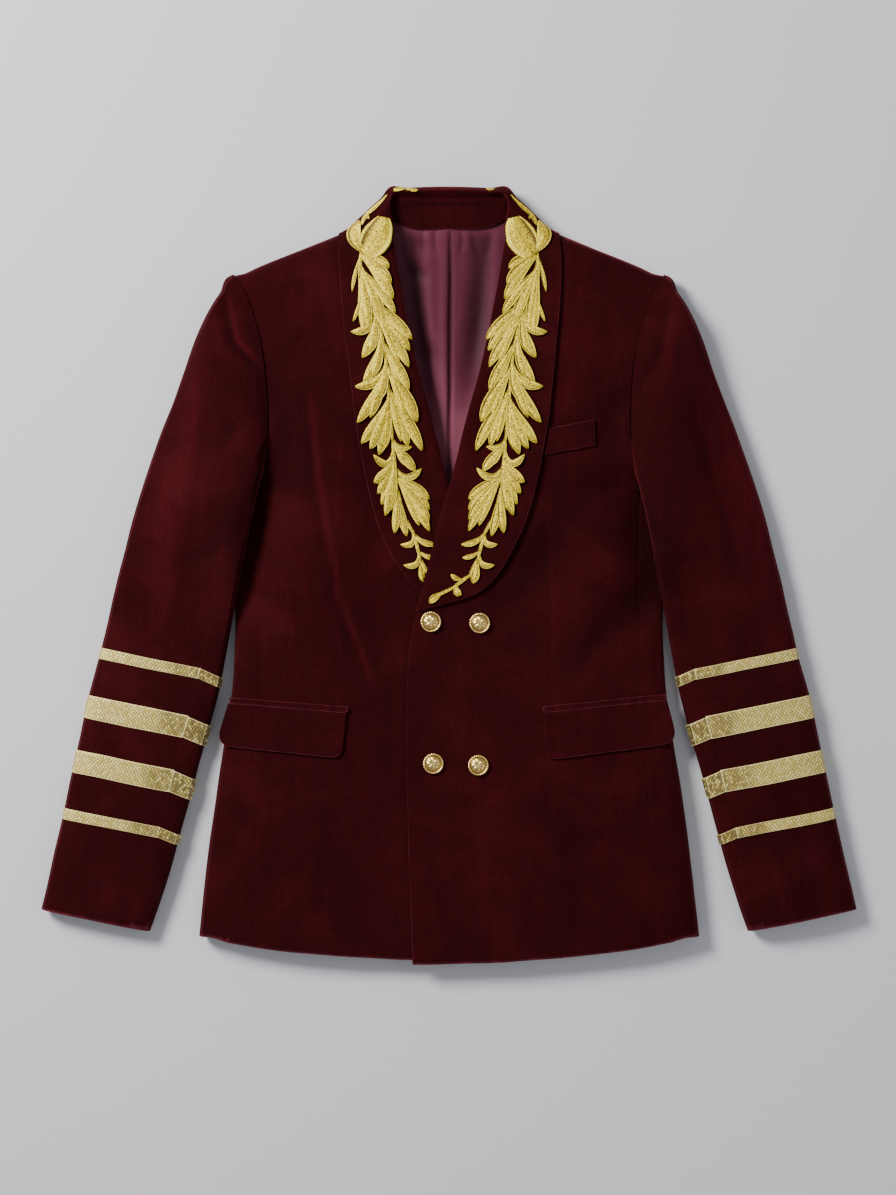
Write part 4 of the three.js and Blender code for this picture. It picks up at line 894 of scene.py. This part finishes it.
# Cut of the bands: the stretch on the top sleeve and the one on the under sleeve.
bandCuts = {"top": 0.118, "under": 0.035}
bandWidths = {1: 0.0112, 2: 0.0230, 3: 0.0225, 4: 0.0108}
bandFold = {
    "dark": 36, "fade": 15,  # from the inner end to here, and fading over the last stretch
    # shares of the painted shade: of the top part near the fold, and of all the under part
    "share": 0.6, "shareUnder": 0.85,
    "step": -0.5, "stepOut": 0.5, "slope": 0.26,
}


def foldBand(piece, part, sign):
    # the end at the sleeve's fold slants down from the seam and turns from the light
    inner = min(vert.co.x * sign for vert in piece.data.vertices)
    seam = max(vert.co.x * sign for vert in piece.data.vertices)
    fold = piece.data.attributes.new("fold", "FLOAT", "POINT")
    for vert in piece.data.vertices:
        if part == "under":
            vert.co.x += bandFold["stepOut"] * sign * mm
            vert.co.y -= bandFold["step"] * mm + bandFold["slope"] * (seam - vert.co.x * sign)
            fold.data[vert.index].value = bandFold["shareUnder"]
        else:
            near = (bandFold["dark"] - (vert.co.x * sign - inner) / mm) / bandFold["fade"]
            fold.data[vert.index].value = bandFold["share"] * smooth(near)


for sideName in sides:
    for number, bandWide in bandWidths.items():
        for part, bandLong in bandCuts.items():
            nodeName = f"band_{number}_{part}_{sideName}"
            piece = dressCloth(nodeName, f"lame_{nodeName}", lame[sideName], 3, bevel=0.25)
            foldBand(piece, part, sides[sideName])
print("bands dressed")

# Embroidery, in millimetres: "across" is the distance from the centre line.
stemLine = [
    # y, across
    (313, 85.5), (291, 87), (271, 84), (253, 70), (216, 62), (168, 58), (132, 55), (87, 51),
    (59, 45), (40, 34), (16, 28), (0, 20), (-12, 4), (-20, -12),
]
leafFans = [
    # y on the stem, count, first tip x, y, last tip x, y, width, bow
    (311, 3, 58, 298, 54, 268, 9, -2),
    (311, 1, 94, 275, 94, 275, 3, -1),
    (288, 2, 52, 254, 62, 244, 8, -2),
    (290, 1, 82, 234, 82, 234, 9, -1),
    (274, 1, 93, 246, 93, 246, 3, 1),
    (258, 2, 36, 229, 38, 218, 9, -3),
    (240, 1, 39, 202, 39, 202, 8, -2),
    (256, 1, 95, 236, 95, 236, 7, 8),
    (242, 1, 84, 211, 84, 211, 9, 3),
    (215, 1, 39, 179, 39, 179, 8, -2),
    (222, 1, 83, 187, 83, 187, 9, 4),
    (206, 1, 91, 183, 91, 183, 8, 8),
    (190, 1, 31, 149, 31, 149, 10, -3),
    (170, 2, 26, 121, 40, 125, 9, -2),
    (192, 2, 73, 168, 89, 148, 9, 3),
    (162, 3, 85, 128, 68, 117, 9, 2),
    (138, 1, 36, 125, 36, 125, 5, 8),
    (121, 1, 73, 117, 73, 117, 6, 11),
    (118, 1, 33, 101, 33, 101, 8, -1),
    (106, 1, 27, 104, 27, 104, 6, 10),
    (103, 4, 73, 90, 62, 58, 8, 2),
    (86, 4, 19, 74, 19, 43, 8, -2),
    (74, 2, 41, 38, 53, 41, 7, 1),
    (42, 1, 12, 30, 12, 30, 5, 4),
    (42, 1, 47, 30, 47, 30, 5, 7),
    (24, 1, 13, 17, 13, 17, 4, 2),
    (22, 1, 44, 10, 44, 10, 5, 7),
    (14, 1, 23, -8, 23, -8, 7, 1),
    (-4, 1, 2, 1, 2, 1, 4, 2),
    (-9, 1, 12, -19, 12, -19, 6, 3),
    (-17, 1, -19, -27, -19, -27, 6, -1),
]
looseLeaves = [
    # root x, y, tip x, y, width, bow, blunt: the knot, and what runs along the collar's outline
    (80, 313, 87, 345, 14, 9, 0),
    (83, 311, 63, 347, 30, 3, 1),
    (60, 370, 83, 349, 4, 1, 0),
    (74, 358, 85, 340, 4, -1.5, 0),
    (80, 352, 78, 346, 2.5, 0, 0),
    (44, 375.5, 36, 376, 3.5, 0.5, 0),
]
backLeaves = [
    # the same, on the wearer's right alone
    (54, 374, 43, 376, 5, 0, 1),
    (41, 376, 30, 373.5, 3.5, 1, 0),
]
leafPlan = {
    "rings": 12,
    "step": 0.5,  # each leaf of three lies this much higher than the one before
    "high": 2.0,  # of the padding
    "widen": 1.2,
    "tipRise": 1.1,  # the tip of a leaf lies over the roots of the next ones
    "sink": 0.6,
    "sinkOver": 0.25,  # of the leaf's length
    "thin": 0.35,  # padding of the narrowest leaf, and how much more a wider one has
    "fuller": 0.5,
    "stemWide": 3.2,
    "stemLap": 2.5,
    "stemStep": 0.3,
    "knot": 313,  # no root lies higher
    "higherRoot": 9,  # broad leaves grow from further up the stem
    "ground": 25.0,  # height where no collar has been met yet
}
broadLeaf = {"wider": 6.5, "bowBelow": 6, "above": 30, "below": 300}
# A second leaf beside each broad one: how far towards the stem, and how it differs.
nestedLeaf = {"share": 0.4, "stemUp": 14, "rootUp": 4, "tipUp": 5, "bow": 0.6}
leafForms = {
    # start and length on half a wave, how late it swells, how slim it is
    "pointed": (0.08, 0.9, 1.75, 0.75),
    "blunt": (0.1, 0.83, 1.0, 0.62),
}
leafSection = [
    # share of the half width, share of the height, cord (above zero) or groove (below), where shade is
    # painted, also on the outer rim as a shadow line between leaves
    (1.15, 0.15, -1.0), (1.03, 0.58, -1.0), (0.90, 0.76, 1.0), (0.77, 0.48, -0.7), (0.57, 0.80, 0.0),
    (0.22, 1.0, 0.0), (-0.22, 1.0, 0.0), (-0.57, 0.80, 0.0), (-0.77, 0.48, -0.7), (-0.90, 0.76, 1.0),
    (-1.03, 0.58, -1.0), (-1.15, 0.15, -1.0), (-0.95, -0.4, -1.0), (0.95, -0.4, -1.0),
]


def modelLeaf():
    # one straight leaf: a cylinder cut into rings and pressed to a padded, corded section
    bpy.ops.object.select_all(action="DESELECT")
    bpy.ops.mesh.primitive_cylinder_add(vertices=len(leafSection), radius=1, depth=1)
    leaf = bpy.context.object
    leaf.name = "leafPattern"
    bpy.ops.object.mode_set(mode="EDIT")
    bpy.ops.mesh.select_mode(type="EDGE")
    bpy.ops.mesh.select_all(action="DESELECT")
    form = bmesh.from_edit_mesh(leaf.data)
    for edge in form.edges:
        edge.select = abs(edge.verts[0].co.z - edge.verts[1].co.z) > 0.5
    bmesh.update_edit_mesh(leaf.data)
    bpy.ops.mesh.subdivide(number_cuts=leafPlan["rings"])
    bpy.ops.mesh.select_mode(type="VERT")
    bpy.ops.object.mode_set(mode="OBJECT")
    cord = leaf.data.attributes.new("cord", "FLOAT", "POINT")
    across = leaf.data.attributes.new("across", "FLOAT", "POINT")
    for vert in leaf.data.vertices:
        turn = math.atan2(vert.co.y, vert.co.x) / (2 * math.pi)
        side, high, corded = leafSection[round(turn * len(leafSection)) % len(leafSection)]
        cord.data[vert.index].value = corded
        across.data[vert.index].value = side
        vert.co = (side, high, vert.co.z + 0.5)
    return leaf


def stemAt(y):
    for (y0, x0), (y1, x1) in zip(stemLine, stemLine[1:]):
        if y >= y1:
            return x0 + (x1 - x0) * (y0 - y) / (y0 - y1)
    return stemLine[-1][1]


def leafRows(sideName):
    # root, tip, width, bow and bluntness of every leaf, from the tail up to the knot
    rows, nested = [], []
    for y, count, x0, y0, x1, y1, wide, bow in leafFans:
        broad = wide > broadLeaf["wider"] and bow < broadLeaf["bowBelow"]
        broad = broad and broadLeaf["above"] < y < broadLeaf["below"]
        rootY = min(y + leafPlan["higherRoot"], leafPlan["knot"]) if broad else y
        for k in range(count):
            t = k / (count - 1) if count > 1 else 0
            tipX, tipY = x0 + (x1 - x0) * t, y0 + (y1 - y0) * t
            rows.append((stemAt(rootY), rootY, tipX, tipY, wide * leafPlan["widen"], bow, 0))
        if broad:
            nestX = tipX + (stemAt(tipY + nestedLeaf["stemUp"]) - tipX) * nestedLeaf["share"]
            rootY += nestedLeaf["rootUp"]
            tipY += nestedLeaf["tipUp"]
            nested.append((stemAt(rootY), rootY, nestX, tipY, wide, bow * nestedLeaf["bow"], 0))
    rows.reverse()
    rows = nested[::-1] + rows
    return rows + looseLeaves + (backLeaves if sideName == "right" else [])


def halfWidth(t, wide, blunt):
    start, span, late, slim = leafForms["blunt" if blunt else "pointed"]
    return wide / 2 * math.sin(math.pi * (start + span * t ** late)) ** slim


def bendLeaf(leaf, row, level, ground):
    # lays a copy of the straight leaf along its curve on the collar
    rootX, rootY, tipX, tipY, wide, bow, blunt = row
    root, tip = Vector((rootX, rootY)), Vector((tipX, tipY))
    aside = Vector((root.y - tip.y, tip.x - root.x)).normalized()
    if aside.y > 0:
        aside.negate()
    bend = (root + tip) / 2 + aside * 2 * bow
    for vert in leaf.data.vertices:
        side, high, t = vert.co
        spot = root * (1 - t) ** 2 + bend * 2 * t * (1 - t) + tip * t ** 2
        ahead = ((bend - root) * (1 - t) + (tip - bend) * t).normalized()
        half = halfWidth(t, wide, blunt)
        spot = spot + Vector((-ahead.y, ahead.x)) * half * side
        thick = min(leafPlan["high"], leafPlan["thin"] + leafPlan["fuller"] * half)
        sunk = leafPlan["sink"] * (1 - smooth(t / leafPlan["sinkOver"]))
        lift = level + leafPlan["tipRise"] * smooth(t) - sunk
        vert.co = (spot.x, spot.y, ground(spot.x, spot.y) + high * thick + lift)


partShift = 0.785 * mm  # the part's own centre line lies this far up
lookFrom = 0.1  # above all the cloth


def treeOf(piece):
    corners = [vert.co.copy() for vert in piece.data.vertices]
    return BVHTree.FromPolygons(corners, [face.vertices[:] for face in piece.data.polygons])


def levelOf(tree, x, y):
    # height of a piece at a place, or None beside it
    hit = tree.ray_cast(Vector((x, y, lookFrom)), Vector((0, 0, -1)))[0]
    return None if hit is None else hit.z


def makeGround(sideName):
    # height of the dressed collar, in millimetres, for a place on the wearer's left half
    tree = treeOf(dressed[f"collar_{sideName}"])
    sign = sides[sideName]
    last = [leafPlan["ground"]]

    def ground(x, y):
        level = levelOf(tree, x * sign * mm, y * mm + partShift)
        if level is not None:
            last[0] = level / mm
        return last[0]

    return ground


def modelSpray(sideName):
    pattern = modelLeaf()
    ground = makeGround(sideName)
    rows = [(row, leafPlan["step"] * (k % 3)) for k, row in enumerate(leafRows(sideName))]
    for (y0, x0), (y1, x1) in zip(stemLine, stemLine[1:]):
        lead = Vector((x1 - x0, y1 - y0)).normalized() * leafPlan["stemLap"]
        row = (x0 - lead.x, y0 - lead.y, x1 + lead.x, y1 + lead.y, leafPlan["stemWide"], 0, 1)
        rows.append((row, leafPlan["stemStep"]))
    leaves = []
    for row, level in rows:
        leaf = addObject("leaf", pattern.data.copy())
        bendLeaf(leaf, row, level, ground)
        leaves.append(leaf)
    bpy.ops.object.select_all(action="DESELECT")
    for leaf in leaves:
        leaf.select_set(True)
    bpy.context.view_layer.objects.active = leaves[0]
    bpy.ops.object.join()
    spray = bpy.context.object
    spray.name = f"goldwork_spray_{sideName}"
    bpy.data.objects.remove(pattern)
    for vert in spray.data.vertices:
        vert.co = (vert.co.x * sides[sideName] * mm, vert.co.y * mm + partShift, vert.co.z * mm)
    selectOnly(spray)
    bpy.ops.object.mode_set(mode="EDIT")
    bpy.ops.mesh.select_all(action="SELECT")
    if sides[sideName] < 0:
        # the left front covers the foot of this one
        bpy.ops.mesh.bisect(plane_co=coveredLine["at"], plane_no=coveredLine["away"], use_fill=True,
                            clear_outer=True)
        bpy.ops.mesh.select_all(action="SELECT")
    bpy.ops.mesh.normals_make_consistent(inside=False)
    bpy.ops.object.mode_set(mode="OBJECT")
    finishPiece(spray, f"spray_{sideName}", goldThread)


# The left front's edge over the right lapel: a point on it and the way out over the left.
coveredLine = {"at": (-0.0125, 0.0412, 0.03), "away": (0.968, -0.252, 0)}
for sideName in sides:
    modelSpray(sideName)
print("embroidery laid")

buttonPlan = {
    # radii, heights and soft borders in millimetres, from the middle of the button
    "segments": 120, "clear": 0.3, "soft": 0.5,
    "ripples": 30, "ropeFrom": 8.6, "ropeAbove": 1.8, "ropeHigh": 0.22,
    "petals": 8, "petalsFrom": 1.4, "petalsTo": 6.6, "petalSoft": 0.8, "petalHigh": 0.42,
    "eye": 1.5, "eyeSoft": 0.6, "eyeHigh": 0.35,
    "ring": 7.8, "ringSoft": 0.6,
    "betweenTo": 6.9, "between": 0.55,  # and the share of the dark between the petals
}
buttonSteps = [
    # radius, height: the foot, the rim, the sunk ring, the domed middle
    (9.0, 0.0), (9.6, 0.5), (10.1, 1.3), (10.1, 2.3), (9.7, 3.0), (9.1, 3.3), (8.5, 3.1), (8.1, 2.5),
    (7.8, 2.2), (7.5, 2.4), (7.0, 3.0), (6.2, 3.5), (5.0, 3.9), (3.8, 4.2), (2.6, 4.4), (1.3, 4.5),
    (0.35, 4.55),
]


def modelButton(nodeName, under):
    # a disc raised ring by ring, then a roped rim and a plain rosette pressed into it
    plan = buttonPlan
    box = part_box(nodeName)
    place = Vector(((box[0][0] + box[1][0]) / 2, (box[0][1] + box[1][1]) / 2, 0))
    bpy.ops.object.select_all(action="DESELECT")
    bpy.ops.mesh.primitive_circle_add(vertices=plan["segments"], radius=buttonSteps[0][0] * mm,
                                      fill_type="NGON", location=(0, 0, 0))
    button = bpy.context.object
    button.name = nodeName.replace("button", "gilt_button")
    bpy.ops.object.mode_set(mode="EDIT")
    bpy.ops.mesh.select_all(action="SELECT")
    for (r0, z0), (r1, z1) in zip(buttonSteps, buttonSteps[1:]):
        bpy.ops.mesh.extrude_region_move(TRANSFORM_OT_translate={"value": (0, 0, (z1 - z0) * mm)})
        bpy.ops.transform.resize(value=(r1 / r0, r1 / r0, 1), center_override=(0, 0, 0))
    bpy.ops.mesh.select_all(action="SELECT")
    bpy.ops.mesh.normals_make_consistent(inside=False)
    bpy.ops.object.mode_set(mode="OBJECT")
    sunk = button.data.attributes.new("sunk", "FLOAT", "POINT")
    height = levelOf(under, place.x, place.y) + plan["clear"] * mm
    for vert in button.data.vertices:
        r = math.hypot(vert.co.x, vert.co.y) / mm
        turn = math.atan2(vert.co.y, vert.co.x)
        rope = math.cos(plan["ripples"] * turn) * smooth((r - plan["ropeFrom"]) / plan["soft"])
        rope *= smooth(vert.co.z / mm - plan["ropeAbove"])
        petal = abs(math.cos(plan["petals"] / 2 * turn))
        petal *= smooth((r - plan["petalsFrom"]) / plan["petalSoft"])
        petal *= smooth((plan["petalsTo"] - r) / plan["petalSoft"])
        eye = smooth((plan["eye"] - r) / plan["eyeSoft"])
        between = plan["between"] * (1 - petal) * smooth((plan["betweenTo"] - r) / plan["soft"])
        between *= smooth((r - plan["petalsFrom"]) / plan["soft"])
        sunk.data[vert.index].value = max(smooth(1 - abs(r - plan["ring"]) / plan["ringSoft"]), between)
        raised = (plan["ropeHigh"] * rope + plan["petalHigh"] * petal + plan["eyeHigh"] * eye) * mm
        vert.co = vert.co + Vector((place.x, place.y, height + raised))
    finishPiece(button, nodeName, gilt)


frontTree = treeOf(dressed["front_left"])
for sideName in sides:
    for row in ("upper", "lower"):
        modelButton(f"button_{row}_{sideName}", frontTree)
print("buttons made")
